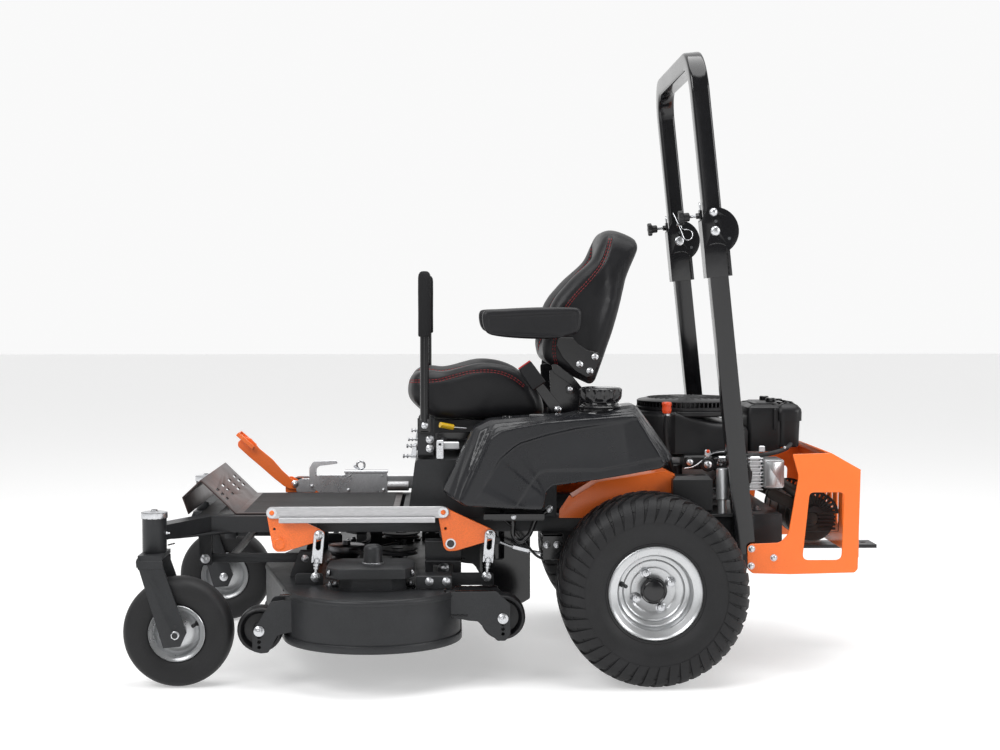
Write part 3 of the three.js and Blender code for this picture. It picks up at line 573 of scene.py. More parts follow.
def lug(half, centre, side, angle, start, end, steps, width, lift, sweep, hook):
    """One tread lug lying on the section from index start to end, tapering into the sidewall."""
    points, faces = [], []
    for k in range(steps + 1):
        t = k / steps
        pos = start + (end - start) * t
        i = min(int(pos), len(half) - 2)
        f = pos - i
        r = half[i][0] * (1 - f) + half[i + 1][0] * f
        y = half[i][1] * (1 - f) + half[i + 1][1] * f
        dr, dy = half[i + 1][0] - half[i][0], half[i + 1][1] - half[i][1]
        size = math.hypot(dr, dy)
        nr, ny = -dy / size, dr / size
        turn = angle + side * (sweep * t + hook * math.sin(t * math.pi * 1.6))
        spread = width * (0.82 + 0.5 * t) / r
        height = lift * (1 - 0.72 * max(0.0, (t - 0.62) / 0.38) ** 2)
        for offset, up in ((-0.5, -3.0), (-0.42, height), (0.42, height), (0.5, -3.0)):
            radius = r + nr * up
            a = turn + offset * spread
            points.append((centre[0] + radius * math.sin(a), centre[1] + side * (y + ny * up),
                           centre[2] + radius * math.cos(a)))
    for k in range(steps):
        a, b = k * 4, (k + 1) * 4
        for i in range(3):
            faces.append((a + i, a + i + 1, b + i + 1, b + i))
    faces.append((0, 3, 2, 1))
    faces.append(tuple(steps * 4 + i for i in range(4)))
    return points, faces


def drive_wheel(name, side):
    centre = (346, side * 470, 254)
    half = carcass_curve([(104, 90), (119, 97), (131, 106), (158, 120), (194, 125), (222, 119), (239, 104),
                          (246, 84), (247.5, 50), (248, 6)])
    shapes = [ring_body(half, centre, 96, 12)]
    count = 44
    last = len(half) - 1
    for i in range(count):
        for s in (1, -1):
            shift = 0.5 if s > 0 else 0.0
            angle = 2 * math.pi * (i + shift) / count
            shapes.append(lug(half, centre, s, angle, last - 0.4, last - 25.5, 13, 22, 6.0, 0.30, 0.045))
    for radius in (132, 226):
        shapes.append(turned([(radius - 1.6, 0), (radius, 1.6), (radius + 1.6, 0), (radius, -1.6)], "y",
                             (centre[0], centre[1] + side * (106.5 if radius == 132 else 117), centre[2]), 96,
                             closed=True))
    piece(f"turf_tyre_{name}", shapes, "tyre", f"drive_wheel_{name}", [f"drive_tyre_{name}"], sharp=35)

    profile = [(18, 37), (18, 41), (56, 41), (60, 42.5), (66, 47), (76, 47.5), (80, 49), (84, 56), (92, 58.5),
               (96, 62), (98.5, 70), (99, 90), (101, 95), (106, 97.5), (115, 99.5), (119, 102), (122.5,
               105.5),
               (125, 103.5), (124.5, 100.5), (120, 96), (112, 93.5), (104.5, 92), (104, 60), (104, -97),
               (121, -101), (121, -104), (98, -101), (96, 56), (84, 52), (78, 44), (66, 42), (58, 36.5)]
    rim = [turned([(r, y * side) for r, y in profile], "y", centre, 72, closed=True)]
    rim.append(rod("y", 18, side * -119, side * 40, (centre[0], 0, centre[2]), 20, 1.0))
    rim = [rim[0], moved(rim[1], Matrix.Translation((0, centre[1], 0)))]
    rim.append(moved(rod("y", 60, side * 24, side * 37, (centre[0], 0, centre[2]), 32, 1.5),
                     Matrix.Translation((0, centre[1], 0))))
    piece(f"steel_rim_{name}", rim, "rim", f"drive_wheel_{name}", [f"drive_rim_{name}"])
    hub = [(0.01, 64), (24, 64), (27, 63), (28.5, 61), (31, 60.5), (33.5, 62), (35.5, 60), (36, 56), (36, 40),
           (41, 39.5), (41, 36)]
    piece(f"hub_cap_{name}", turned([(r, y * side) for r, y in hub], "y", centre, 40), "gloss_black",
          f"drive_wheel_{name}")
    nuts = []
    for i in range(4):
        angle = math.radians(24 + 90 * i)
        at = (centre[0] + 51 * math.cos(angle), centre[1] + side * 41, centre[2] + 51 * math.sin(angle))
        nuts.append(bolt(at, "y", side, across=10, head=12, washer=14.5))
    piece(f"lug_nuts_{name}", nuts, "zinc", f"drive_wheel_{name}")
    angle = math.radians(168)
    root = Vector((centre[0] + 88 * math.cos(angle), centre[1] + side * 58, centre[2] + 88 * math.sin(angle)))
    tip = root + Vector((-math.cos(angle) * 10, side * 30, -math.sin(angle) * 10))
    piece(f"valve_stem_{name}", [valve_stem(root, tip)], "rubber", f"drive_wheel_{name}")


def valve_stem(root, tip):
    path = [root.lerp(tip, t) for t in (0, 0.12, 0.2, 0.6, 0.64, 0.94, 1.0)]
    radii = (7.5, 7.5, 5.0, 4.2, 5.2, 5.2, 3.6)
    points, faces = [], []
    ahead = (tip - root).normalized()
    normal = ahead.orthogonal().normalized()
    across = ahead.cross(normal)
    sides = 12
    for p, r in zip(path, radii):
        for k in range(sides):
            t = 2 * math.pi * k / sides
            points.append(tuple(p + normal * r * math.cos(t) + across * r * math.sin(t)))
    for i in range(len(path) - 1):
        for k in range(sides):
            j = (k + 1) % sides
            faces.append((i * sides + k, i * sides + j, (i + 1) * sides + j, (i + 1) * sides + k))
    faces.append(tuple(range(sides))[::-1])
    faces.append(tuple(range((len(path) - 1) * sides, len(path) * sides)))
    return points, faces


def caster_wheel(name, side):
    centre = (-916, side * 481, 146)
    body = f"caster_wheel_{name}"
    half = carcass_curve([(64, 34), (72, 38), (80, 44), (98, 49), (118, 49.5), (132, 45), (141, 34),
            (145, 18),
                          (145.8, 0)])
    piece(f"smooth_tyre_{name}", [ring_body(half, centre, 80, 8)], "tyre", body, [f"caster_tyre_{name}"])
    half_rim = [(8.6, 53), (16, 54), (20, 51), (21, 40), (22, 12), (34, 9), (52, 11), (58, 16), (61, 24),
                (62, 38), (66, 42), (70, 43.5), (73.5, 47), (75, 45.5), (74, 42), (70, 39.5), (65, 37),
                (63.5, 20)]
    profile = half_rim + [(r, -y) for r, y in reversed(half_rim)]
    piece(f"caster_rim_shell_{name}", turned(profile, "y", centre, 64, closed=True), "rim", body,
          [f"caster_rim_{name}"])
    angle = math.radians(24)
    root = Vector((centre[0] + 57 * math.cos(angle), centre[1] + side * 18, centre[2] + 57 * math.sin(angle)))
    tip = root + Vector((-math.cos(angle) * 12, side * 22, -math.sin(angle) * 12))
    piece(f"caster_valve_{name}", [valve_stem(root, tip)], "rubber", body)
    fork = f"caster_fork_{name}"
    ends = [bolt((centre[0], centre[1] + side * 68.2, centre[2]), "y", side, across=11, head=5, washer=11,
                 nut=False),
            bolt((centre[0], centre[1] - side * 68.2, centre[2]), "y", -side, across=11, head=9, washer=13)]
    piece(f"caster_axle_bolt_{name}", ends, "zinc", fork)
    cap = turned([(0.01, 464.6), (30, 464.4), (34.5, 462), (35, 450), (34, 447.5), (31, 447)], "z",
                 (-979, side * 481, 0), 40)
    nut = bolt((-979, side * 481, 464), "z", 1, across=9, head=3.4, washer=11, nut=False)
    piece(f"caster_cap_{name}", [cap, nut], "zinc", "chassis")
    grease = turned([(4.5, 0), (4.5, 4), (2.6, 5), (2.6, 10), (0.01, 11)], "x", (0, 0, 0), 10)
    grease = moved(grease, Matrix.Translation((-947.5, side * 484, 407)))
    piece(f"grease_fitting_{name}", [grease], "zinc", "chassis")


def scalp_wheel(end, name, side, x, z):
    centre = (x, side * 500, z)
    half = [(8.6, 32), (17, 32), (19, 30), (20, 16), (42, 14), (46, 18), (48, 29), (51, 31.5), (55, 31),
            (58.5, 28),
            (60, 22), (60.3, 0)]
    profile = half + [(r, -y) for r, y in reversed(half[:-1])]
    body = f"anti_scalp_wheel_{end}_{name}"
    piece(f"roller_{end}_{name}", turned(profile, "y", centre, 56, closed=True), "engine_plastic", body,
            [body])


def fork_details(name, side):
    """The fork's folded crown: a strap over the leg's shoulder, and the small holes near the axle."""
    x, y = -979, side * 481
    strap = [(-1010, 349), (-1013, 343), (-1014, 332), (-1008, 322)]
    shapes = []
    for s in (-1, 1):
        shapes.append(block(-1012, -948, y + s * 62, y + s * 69.5, 318, 344, 3))
        shapes.append(tube(smooth_path([(-1008, y + s * 66, 350), (-1013, y + s * 66, 341),
                (-1012, y + s * 66, 325)]),
                           4))
    shapes.append(swept([(px, y - 66, pz) for px, pz in strap], circle(0, 0, 3, 8)))
    shapes.append(rod("z", 20, 340, 346, (x, y, 0), 20, 1))
    piece(f"fork_strap_{name}", shapes, "charcoal", f"caster_fork_{name}")
    hole = rod("y", 3.6, side * 67.5, side * 68.8, (-916, 0, 170), 10, 0.2)
    piece(f"fork_hole_{name}", moved(hole, Matrix.Translation((0, side * 481, 0))), "belt",
          f"caster_fork_{name}")


for side_name, side_sign in SIDES:
    drive_wheel(side_name, side_sign)
    caster_wheel(side_name, side_sign)
    fork_details(side_name, side_sign)
    scalp_wheel("front", side_name, side_sign, -697, 155)
    scalp_wheel("rear", side_name, side_sign, -55, 185)


# ------------------------------------------------------------------ soft pieces
def unplace(p):
    return Vector((p[0] / MM, (p[1] - MID_PLANE) / MM, p[2] / MM))


def smoothstep(low, high, value):
    t = min(max((value - low) / (high - low), 0.0), 1.0)
    return t * t * (3 - 2 * t)


def even_loop(points, count):
    """A closed smooth loop through the points, with count points at even spacing."""
    closed = [points[-1]] + list(points) + [points[0], points[1]]
    dense = []
    for i in range(1, len(closed) - 2):
        p0, p1, p2, p3 = (Vector(p) for p in closed[i - 1:i + 3])
        for k in range(10):
            t = k / 10
            dense.append(0.5 * ((2 * p1) + (p2 - p0) * t + (2 * p0 - 5 * p1 + 4 * p2 - p3) * t ** 2
                                + (3 * p1 - p0 - 3 * p2 + p3) * t ** 3))
    loop = even_path(dense + [dense[0]], count + 1)[:-1]
    loop = [(p.x, p.y) for p in loop]
    return loop if loop_area(loop) > 0 else loop[::-1]


def even_path(points, count):
    points = [Vector(p) for p in points]
    lengths = [0.0]
    for a, b in zip(points, points[1:]):
        lengths.append(lengths[-1] + (b - a).length)
    out = []
    at = 0
    for k in range(count):
        want = lengths[-1] * k / (count - 1)
        while at < len(lengths) - 2 and lengths[at + 1] < want:
            at += 1
        span = lengths[at + 1] - lengths[at]
        out.append(points[at].lerp(points[at + 1], (want - lengths[at]) / span if span else 0))
    return out


def pillow(outline, y0, y1, rounding, count=72, rows=16):
    """A closed form: the outline in X and Z carried from y0 to y1, with its two ends rounded over."""
    loop = even_loop(outline, count)
    rings = []
    arc = 6
    for k in range(arc + 1):
        a = math.pi / 2 * (1 - k / arc)
        rings.append((y0 + rounding * (1 - math.sin(a)), rounding * (1 - math.cos(a))))
    straight = [y0 + rounding + (y1 - y0 - 2 * rounding) * k / rows for k in range(1, rows)]
    rings += [(y, 0.0) for y in straight]
    rings += [(y1 - (y - y0), inset) for y, inset in reversed(rings[:arc + 1])]
    points, faces = [], []
    for y, inset in rings:
        points.extend((x, y, z) for x, z in shrunk(loop, inset))
    for i in range(len(rings) - 1):
        for k in range(count):
            j = (k + 1) % count
            a, b = i * count, (i + 1) * count
            faces.append((a + k, a + j, b + j, b + k))
    faces.append(tuple(range(count)))
    faces.append(tuple(range((len(rings) - 1) * count, len(rings) * count))[::-1])
    return points, faces


def evaluated_mesh(obj):
    depsgraph = bpy.context.evaluated_depsgraph_get()
    return bpy.data.meshes.new_from_object(obj.evaluated_get(depsgraph))


def apply_modifiers(obj):
    made = evaluated_mesh(obj)
    obj.modifiers.clear()
    obj.data = made


def remesh(obj, voxel, relax=2):
    modifier = obj.modifiers.new("remesh", "REMESH")
    modifier.mode = "VOXEL"
    modifier.voxel_size = voxel * MM
    if relax:
        smooth = obj.modifiers.new("relax", "SMOOTH")
        smooth.factor = 0.5
        smooth.iterations = relax
    apply_modifiers(obj)


def swell(obj, most):
    """Pressurises the form as cloth; no point moves further than most."""
    before = [v.co.copy() for v in obj.data.vertices]
    cloth = obj.modifiers.new("cloth", "CLOTH")
    settings = cloth.settings
    settings.quality = 5
    settings.mass = 0.3
    settings.use_pressure = True
    settings.uniform_pressure_force = 4.0
    settings.effector_weights.gravity = 0.0
    for frame_number in range(1, 21):
        scene.frame_set(frame_number)
    made = evaluated_mesh(obj)
    after = [v.co.copy() for v in made.vertices]
    obj.modifiers.clear()
    bpy.data.meshes.remove(made)
    scene.frame_set(1)
    moves = [b - a for a, b in zip(before, after)]
    lengths = sorted(m.length for m in moves)
    typical = lengths[int(len(lengths) * 0.95)]
    share = most * MM / max(typical, 1e-9)
    for vertex, move in zip(obj.data.vertices, moves):
        step = move * share
        if step.length > most * MM:
            step = step.normalized() * most * MM
        vertex.co = vertex.co + step
    obj.data.update()


def subdivide(obj, levels=1):
    modifier = obj.modifiers.new("finer", "SUBSURF")
    modifier.levels = levels
    modifier.render_levels = levels
    apply_modifiers(obj)


def surface_tree(obj):
    mesh = obj.data
    return BVHTree.FromPolygons([v.co for v in mesh.vertices], [tuple(p.vertices) for p in mesh.polygons])


def cast(tree, starts, direction):
    """Where rays from the starts meet the surface: (place, normal) in millimetres of the machine's frame."""
    found = []
    for start in starts:
        hit, normal, _, _ = tree.ray_cast(place(start), Vector(direction))
        if hit is not None:
            found.append((unplace(hit), normal.copy()))
    return found


def seam(obj, line, radius, depth):
    """Presses a soft groove along a line of points on the surface."""
    path = even_path([p for p, _ in line], max(int(len(line) * 3), 2))
    tree = KDTree(len(path))
    for i, p in enumerate(path):
        tree.insert(place(p), i)
    tree.balance()
    normals = [v.normal.copy() for v in obj.data.vertices]
    for vertex, normal in zip(obj.data.vertices, normals):
        _, _, distance = tree.find(vertex.co)
        share = distance / (radius * MM)
        if share < 1:
            vertex.co = vertex.co - normal * depth * MM * (1 - share * share) ** 2
    obj.data.update()


def stitches(lines, offset, length=6.0, gap=3.5, radius=0.8):
    """Short raised threads on both sides of each line of (place, normal)."""
    shapes = []
    for line in lines:
        spots = [p for p, _ in line]
        count = max(int(sum((b - a).length for a, b in zip(spots, spots[1:])) / (length + gap)), 2)
        path = even_path(spots, count)
        normals = even_path([n for _, n in line], count)
        for i in range(count - 1):
            along = (path[i + 1] - path[i]).normalized()
            normal = normals[i].normalized()
            across = along.cross(normal).normalized()
            for s in (-1, 1):
                start = path[i] + across * s * offset + normal * 0.2
                shapes.append(tube([start - along * length * 0.5, start + normal * radius * 0.5,
                                    start + along * length * 0.5], radius, 5))
    return shapes


def soft_object(name, shape, voxel, relax=2):
    points, faces = shape
    mesh = bpy.data.meshes.new(name)
    mesh.from_pydata([place(p) for p in points], [], faces)
    obj = bpy.data.objects.new(name, mesh)
    scene.collection.objects.link(obj)
    tidy_mesh(mesh)
    remesh(obj, voxel, relax)
    return obj


def interpolate(table, value):
    for (a, fa), (b, fb) in zip(table, table[1:]):
        if value <= b:
            return fa + (fb - fa) * max(value - a, 0) / (b - a)
    return table[-1][1]


CUSHION = [(-320, 768), (-316, 806), (-298, 824), (-262, 829), (-222, 826), (-165, 838), (-110, 849), (-50,
        844),
           (2, 824), (45, 787), (70, 745), (76, 713), (72, 700), (20, 696), (-120, 694), (-220, 695),
           (-262, 701),
           (-300, 730), (-315, 748)]
BACKREST = [(78, 850), (67, 884), (67, 912), (90, 1010), (137, 1074), (206, 1145), (229, 1193), (244, 1222),
            (269, 1231), (302, 1223), (335, 1208), (341, 1191), (306, 1091), (269, 951), (228, 832), (208,
            787),
            (180, 797), (120, 826)]
BACK_FRONT = [(780, 84), (850, 76), (912, 66), (1010, 89), (1074, 136), (1145, 205), (1230, 260)]
BACK_REAR = [(780, 206), (832, 228), (951, 269), (1091, 306), (1230, 345)]
CUSHION_SEAM = [(-312, 796), (-285, 799), (-255, 799), (-222, 802), (-175, 815), (-130, 825), (-85, 827),
        (-45, 820),
                (-10, 803), (18, 780)]
BACK_SEAM = [(106, 842), (98, 880), (102, 925), (121, 985), (155, 1035), (200, 1083), (233, 1125), (251,
        1165),
             (262, 1205)]


def seat_cushion():
    points, faces = pillow(CUSHION, -243, 243, 30)
    shaped = []
    for x, y, z in points:
        f = abs(y) / 243
        top = smoothstep(745, 815, z)
        z -= top * 24 * (1 - smoothstep(0.45, 0.82, f)) * (1 - 0.6 * smoothstep(-200, -310, x))
        z -= top * 9 * smoothstep(0.9, 1.0, f)
        x += 26 * f ** 4 * smoothstep(-120, -300, x)
        x -= 14 * f ** 6 * smoothstep(0, 70, x)
        shaped.append((x, y, z))
    obj = soft_object("seat_cushion_cover", (shaped, faces), 8.0)
    swell(obj, 7.0)
    subdivide(obj)
    tree = surface_tree(obj)
    lines = []
    for s in (-1, 1):
        path = even_path(smooth_path([(x, s * 320, z) for x, z in CUSHION_SEAM], 6), 90)
        lines.append(cast(tree, path, (0, -s, 0)))
    tops = []
    for s in (-1, 1):
        tops.append(cast(tree, [(-285 + 3.6 * k, s * (128 + 14 * smoothstep(0, 90, k)), 950)
                for k in range(90)],
                         (0, 0, -1)))
    for x in (-205, -120, -35):
        tops.append(cast(tree, [(x, -126 + 4.2 * k, 950) for k in range(61)], (0, 0, -1)))
    for line in lines:
        seam(obj, line, 8, 2.6)
    for line in tops:
        seam(obj, line, 13, 5.0)
    finish_piece(obj, "vinyl", "seat_cushion", ["seat_cushion"], sharp=180)
    piece("cushion_stitching", stitches(lines + tops[:2], 3.2), "stitch", "seat_cushion")
    piece("cushion_channel_thread", stitches(tops[2:], 0.0, 5.0, 3.0, 0.8), "webbing", "seat_cushion")


def seat_backrest():
    points, faces = pillow(BACKREST, -232, 232, 32)
    shaped = []
    for x, y, z in points:
        f = abs(y) / 232
        low, high = interpolate(BACK_FRONT, z), interpolate(BACK_REAR, z)
        front = 1 - smoothstep(0.1, 0.9, (x - low) / (high - low))
        x += front * 30 * (1 - smoothstep(0.42, 0.8, f)) * smoothstep(860, 930, z) * (1 - smoothstep(1130,
                1215, z))
        z -= 30 * f ** 4 * smoothstep(1080, 1220, z)
        y *= 1 - 0.17 * smoothstep(980, 1220, z)
        shaped.append((x, y, z))
    obj = soft_object("seat_backrest_cover", (shaped, faces), 8.0)
    swell(obj, 6.0)
    subdivide(obj)
    tree = surface_tree(obj)
    lines = []
    for s in (-1, 1):
        path = even_path(smooth_path([(x, s * 320, z) for x, z in BACK_SEAM], 6), 90)
        lines.append(cast(tree, path, (0, -s, 0)))
    fronts = []
    for s in (-1, 1):
        fronts.append(cast(tree, [(-200, s * (132 - 30 * smoothstep(0, 80, k)), 880 + 3.9 * k)
                for k in range(80)],
                           (1, 0, 0)))
    for z in (940, 1010, 1080, 1145):
        reach = 126 - 26 * smoothstep(900, 1190, z)
        fronts.append(cast(tree, [(-200, -reach + reach * k / 30, z) for k in range(61)], (1, 0, 0)))
    for line in lines:
        seam(obj, line, 8, 2.6)
    for line in fronts:
        seam(obj, line, 13, 5.0)
    finish_piece(obj, "vinyl", "seat_backrest", ["seat_backrest"], sharp=180)
    piece("backrest_stitching", stitches(lines + fronts[:2], 3.2), "stitch", "seat_backrest")
    piece("backrest_channel_thread", stitches(fronts[2:], 0.0, 5.0, 3.0, 0.8), "webbing", "seat_backrest")


ARMREST = [(-98, 944), (-104, 966), (-104, 986), (-95, 997), (-40, 1000), (40, 1004), (120, 1006), (160,
        1004),
           (170, 994), (169, 970), (165, 945), (154, 932), (110, 921), (50, 918), (-30, 922), (-82, 930)]


def armrest(name, side):
    points, faces = pillow(ARMREST, min(side * 247, side * 303), max(side * 247, side * 303), 9, rows=8)
    obj = soft_object(f"armrest_pad_{name}", (points, faces), 4.0, relax=4)
    outer = side * 303
    for vertex in obj.data.vertices:
        p = unplace(vertex.co)
        if abs(p.y - outer) < 9:
            low, high = 932 - (p.x + 80) * 0.05, 977 + (p.x + 80) * 0.045
            inside = min(smoothstep(-90, -84, p.x), 1 - smoothstep(148, 154, p.x),
                         smoothstep(low, low + 5, p.z), 1 - smoothstep(high, high + 5, p.z))
            vertex.co.y -= side * inside * 4.0 * MM
    finish_piece(obj, "vinyl", f"armrest_{name}", [f"armrest_{name}"], sharp=180)
    bracket = rounded([(108, 921), (150, 921), (166, 903), (190, 886), (222, 878), (230, 868), (208, 815),
            (190, 809),
                       (157, 828), (123, 863), (104, 900)], 9)
    piece(f"armrest_bracket_{name}", [plate(bracket, "y", side * 240.5, side * 245)], "gloss_black",
            "seat_backrest")
    heads = [bolt((x, side * 245, z), "y", side, across=6.5, head=4.5, washer=9.5, nut=False)
             for x, z in ((212, 867), (169, 846), (198, 827))]
    piece(f"armrest_bolts_{name}", heads, "zinc", "seat_backrest")


def recliner(name, side):
    upper = rounded([(88, 848), (104, 846), (150, 812), (178, 778), (168, 770), (140, 792), (96, 822)], 6)
    lower = rounded([(84, 830), (100, 832), (134, 806), (168, 776), (172, 757), (166, 712), (150, 696),
            (84, 696),
                     (78, 720), (88, 760)], [8, 8, 8, 8, 8, 8, 8, 8, 8, 8])
    shapes = [plate(upper, "y", side * 246.5, side * 250), plate(lower, "y", side * 241, side * 246)]
    shapes.append(rod("y", 13, side * 246, side * 250, (142, 0, 776), 24, 1))
    piece(f"recliner_plate_{name}", shapes, "gloss_black", "seat_cushion")
    nut = bolt((142, side * 250, 776), "y", side, across=5, head=3, washer=7, nut=False)
    piece(f"recliner_nut_{name}", [nut], "zinc", "seat_cushion")


def seat_belt():
    """The buckle stands on a stiff stalk at the left; the reel hangs at the right."""
    axis = Vector((73 - 31, 797 - 857)).normalized()
    across = Vector((-axis.y, axis.x))
    centre = Vector((34, 815))

    def corner(a, b):
        p = centre + axis * a + across * b
        return (p.x, p.y)

    body = rounded([corner(-36, -21), corner(-36, 21), corner(36, 23), corner(36, -23)], 5)
    lid = rounded([corner(-39, -20), corner(-39, 20), corner(-33, 20), corner(-33, -20)], 2)
    piece("belt_buckle", [plate(body, "y", -258, -279, edge=3)], "vinyl", "seat_cushion")
    piece("buckle_button", [plate(lid, "y", -261, -276, edge=1.2)], "red", "seat_cushion")
    stalk = rounded([corner(30, -13), corner(30, 13), (121, 726), (112, 708), (94, 706), (84, 722)], 6)
    piece("buckle_stalk", [plate(stalk, "y", -263, -268, edge=1.2)], "gloss_black", "seat_cushion")
    piece("buckle_bolt", [bolt((107, -268, 720), "y", -1, across=7, head=5, washer=10, nut=False),
                          rod("y", 6, -247, -264, (107, 0, 720), 12)], "zinc", "seat_cushion")
    reel = rounded([(70, 690), (140, 690), (146, 760), (120, 776), (76, 772)], 8)
    piece("belt_reel", [plate(reel, "y", 252, 290, edge=4)], "engine_plastic", "seat_cushion")
    strap = [(106, 270, 770), (110, 268, 812), (112, 262, 852), (106, 258, 880)]
    piece("belt_webbing", [swept(smooth_path(strap, 5), [(-1, -22), (1, -22), (1, 22), (-1, 22)],
                                 first_normal=(0, 1, 0))], "webbing", "seat_cushion")
    tongue = rounded([(84, 876), (128, 876), (126, 902), (114, 922), (98, 922), (86, 902)], 4)
    piece("belt_tongue", [plate(tongue, "y", 255, 259, holes=[slot_loop((96, 886), (116, 886), 3)])], "zinc",
          "seat_cushion")


seat_cushion()
seat_backrest()
for side_name, side_sign in SIDES:
    armrest(side_name, side_sign)
    recliner(side_name, side_sign)
seat_belt()


# ------------------------------------------------------------------ tank, console and cap
TANK = [(-216, 510), (-164, 477), (-40, 471), (56, 466), (61, 513), (76, 530), (205, 546), (388, 581),
        (409, 600),
        (356, 676), (305, 745), (210, 734), (123, 716), (0, 710), (-87, 703), (-130, 681)]
TANK_FACE = [(-168, 490), (-152, 480), (-40, 473), (54, 468), (60, 516), (77, 533), (203, 549), (364, 577),
             (378, 592), (338, 656), (300, 721), (205, 712), (122, 706), (42, 699), (-58, 681), (-86, 660)]
TANK_ROUNDING = [12, 10, 30, 10, 12, 16, 40, 18, 14, 60, 20, 60, 60, 60, 26, 14]
RIDGE = [(-118, 512), (-107, 535), (-65, 606), (-28, 638), (-8, 650), (62, 671), (137, 688), (273, 707)]
FOLD = [(-25, 473), (24, 548), (40, 568), (60, 575), (203, 577), (300, 594)]


def line_distance(p, line):
    best, where, side = 1e9, 0.0, 1.0
    total = 0.0
    for a, b in zip(line, line[1:]):
        a, b = Vector(a), Vector(b)
        span = b - a
        t = min(max((p - a).dot(span) / span.length_squared, 0), 1)
        q = a + span * t
        d = (p - q).length
        if d < best:
            best, where = d, total + span.length * t
            side = 1.0 if span.x * (p.y - a.y) - span.y * (p.x - a.x) < 0 else -1.0
        total += span.length
    return best, where / total, side


def tank_shell(name, side, node):
    back = rounded(TANK, TANK_ROUNDING, 4)
    face = rounded(TANK_FACE, TANK_ROUNDING, 4)
    stack = [(337, back, 0.0), (352, back, -0.5), (440, back, 0.0)]
    points, faces = [], []
    count = len(back)
    for y, loop, inset in stack:
        points.extend((x, side * y, z) for x, z in (shrunk(loop, inset) if inset else loop))
    blend = [0.3, 0.6, 0.86, 1.0]
    for share, y in zip(blend, (468, 492, 511, 518)):
        points.extend((x + (u - x) * share, side * y, z + (v - z) * share) for (x, z), (u, v) in zip(back,
                face))
    points.extend((x, side * 519.5, z) for x, z in shrunk(face, 5))
    rings = len(points) // count
    for i in range(rings - 1):
        for k in range(count):
            j = (k + 1) % count
            a, b = i * count, (i + 1) * count
            faces.append((a + k, a + j, b + j, b + k))
    faces.append(tuple(range(count))[::-1])
    faces.append(tuple(range((rings - 1) * count, rings * count)))
    shapes = [(points, faces)]
    obj = soft_object(name, merged(shapes), 3.2, relax=2)
    for vertex in obj.data.vertices:
        p = unplace(vertex.co)
        if abs(p.y) < 470:
            continue
        flat = Vector((p.x, p.z))
        distance, along, which = line_distance(flat, RIDGE)
        fade = math.sin(math.pi * min(max(along, 0.02), 0.98)) ** 0.6
        depth = 0.0
        if which > 0:
            depth = 8 * fade * smoothstep(0, 6, distance) * (1 - smoothstep(70, 240, distance))
        distance, along, which = line_distance(flat, FOLD)
        depth += (3.0 * smoothstep(0, 4, distance) * (1 - smoothstep(30, 120, distance))) if which > 0 else 0
        vertex.co.y -= side * depth * MM
    finish_piece(obj, "tank", "chassis", [node], sharp=180)


def fuel_cap():
    centre = (212, -420)
    levels = [(0.02, 790.5, 0), (30, 791, 0), (46, 791, 0), (54, 789.5, 0), (58, 786, 0.15), (59, 782, 0.6),
              (58.5, 777, 1.0), (58, 768, 1.0), (57, 762, 0.8), (54.5, 757.5, 0.4), (51, 754.5, 0), (50.5,
              751.6, 0),
              (47, 751.2, 0), (0.02, 751.2, 0)]
    points, faces = [], []
    around = 240
    for s in range(around):
        a = 2 * math.pi * s / around
        scallop = 6.5 * (0.5 - 0.5 * math.cos(11 * a)) ** 1.6
        for r, z, grip in levels:
            radius = r - grip * scallop
            points.append((centre[0] + radius * math.cos(a), centre[1] + radius * math.sin(a), z))
    count = len(levels)
    for s in range(around):
        t = (s + 1) % around
        for i in range(count - 1):
            faces.append((s * count + i, t * count + i, t * count + i + 1, s * count + i + 1))
    piece("filler_cap", (points, faces), "gloss_black", "fuel_cap", ["fuel_cap"])
    neck = [(0.01, 750.5), (44, 750.5), (46, 748), (46, 742), (57, 741), (59, 738.5), (58, 735), (53, 733),
            (54, 728),
            (66, 725), (68, 721), (66, 700), (0.01, 700)]
    piece("filler_neck", turned(neck, "z", (*centre, 0), 56), "gloss_black", "chassis")
    bead = turned([(48, 741), (50, 743.5), (52.5, 741)], "z", (*centre, 0), 48, closed=True)
    vent = turned([(0.01, 712), (13, 712), (14, 709), (14, 698), (0.01, 698)], "z", (-40, -400, 0), 24)
    strap_base = block(20, 60, -402, -372, 704, 716, 3)
    piece("tank_top_fittings", [bead, vent, strap_base], "gloss_black", "chassis")


tank_shell("fuel_tank_shell", -1, "fuel_tank")
tank_shell("side_console_shell", 1, "side_console")
fuel_cap()


# ------------------------------------------------------------------ roll bar
LEAN = math.atan2(86, 820)
ROLL = Matrix.Translation((526, 0, 1213)) @ Matrix.Rotation(-LEAN, 4, "Y")


def stacked(loop, levels, axis="z"):
    """A closed form: the loop at each level, moved inward by the level's inset."""
    make = axis_map(axis)
    points, faces = [], []
    count = len(loop)
    for level, inset in levels:
        points.extend(make(a, b, level) for a, b in (shrunk(loop, inset) if inset else loop))
    for i in range(len(levels) - 1):
        for k in range(count):
            j = (k + 1) % count
            a, b = i * count, (i + 1) * count
            faces.append((a + k, a + j, b + j, b + k))
    faces.append(tuple(range(count))[::-1])
    faces.append(tuple(range((len(levels) - 1) * count, len(levels) * count)))
    return points, faces


def dome(axis, centre, sign, radius, height, flange=0.0):
    """A domed head standing out from a face along sign times the axis."""
    base = [0 if "xyz"[i] == axis else centre[i] for i in range(3)]
    along = centre["xyz".index(axis)]
    levels = [(0.01, 0), (radius + flange, 0), (radius + flange, 1.6)]
    levels += [(radius * math.cos(a), 1.6 + height * math.sin(a)) for a in (0.0, 0.35, 0.7, 1.05, 1.35)]
    levels.append((0.01, 1.6 + height))
    return turned([(r, along + sign * h) for r, h in levels], axis, base, 24)


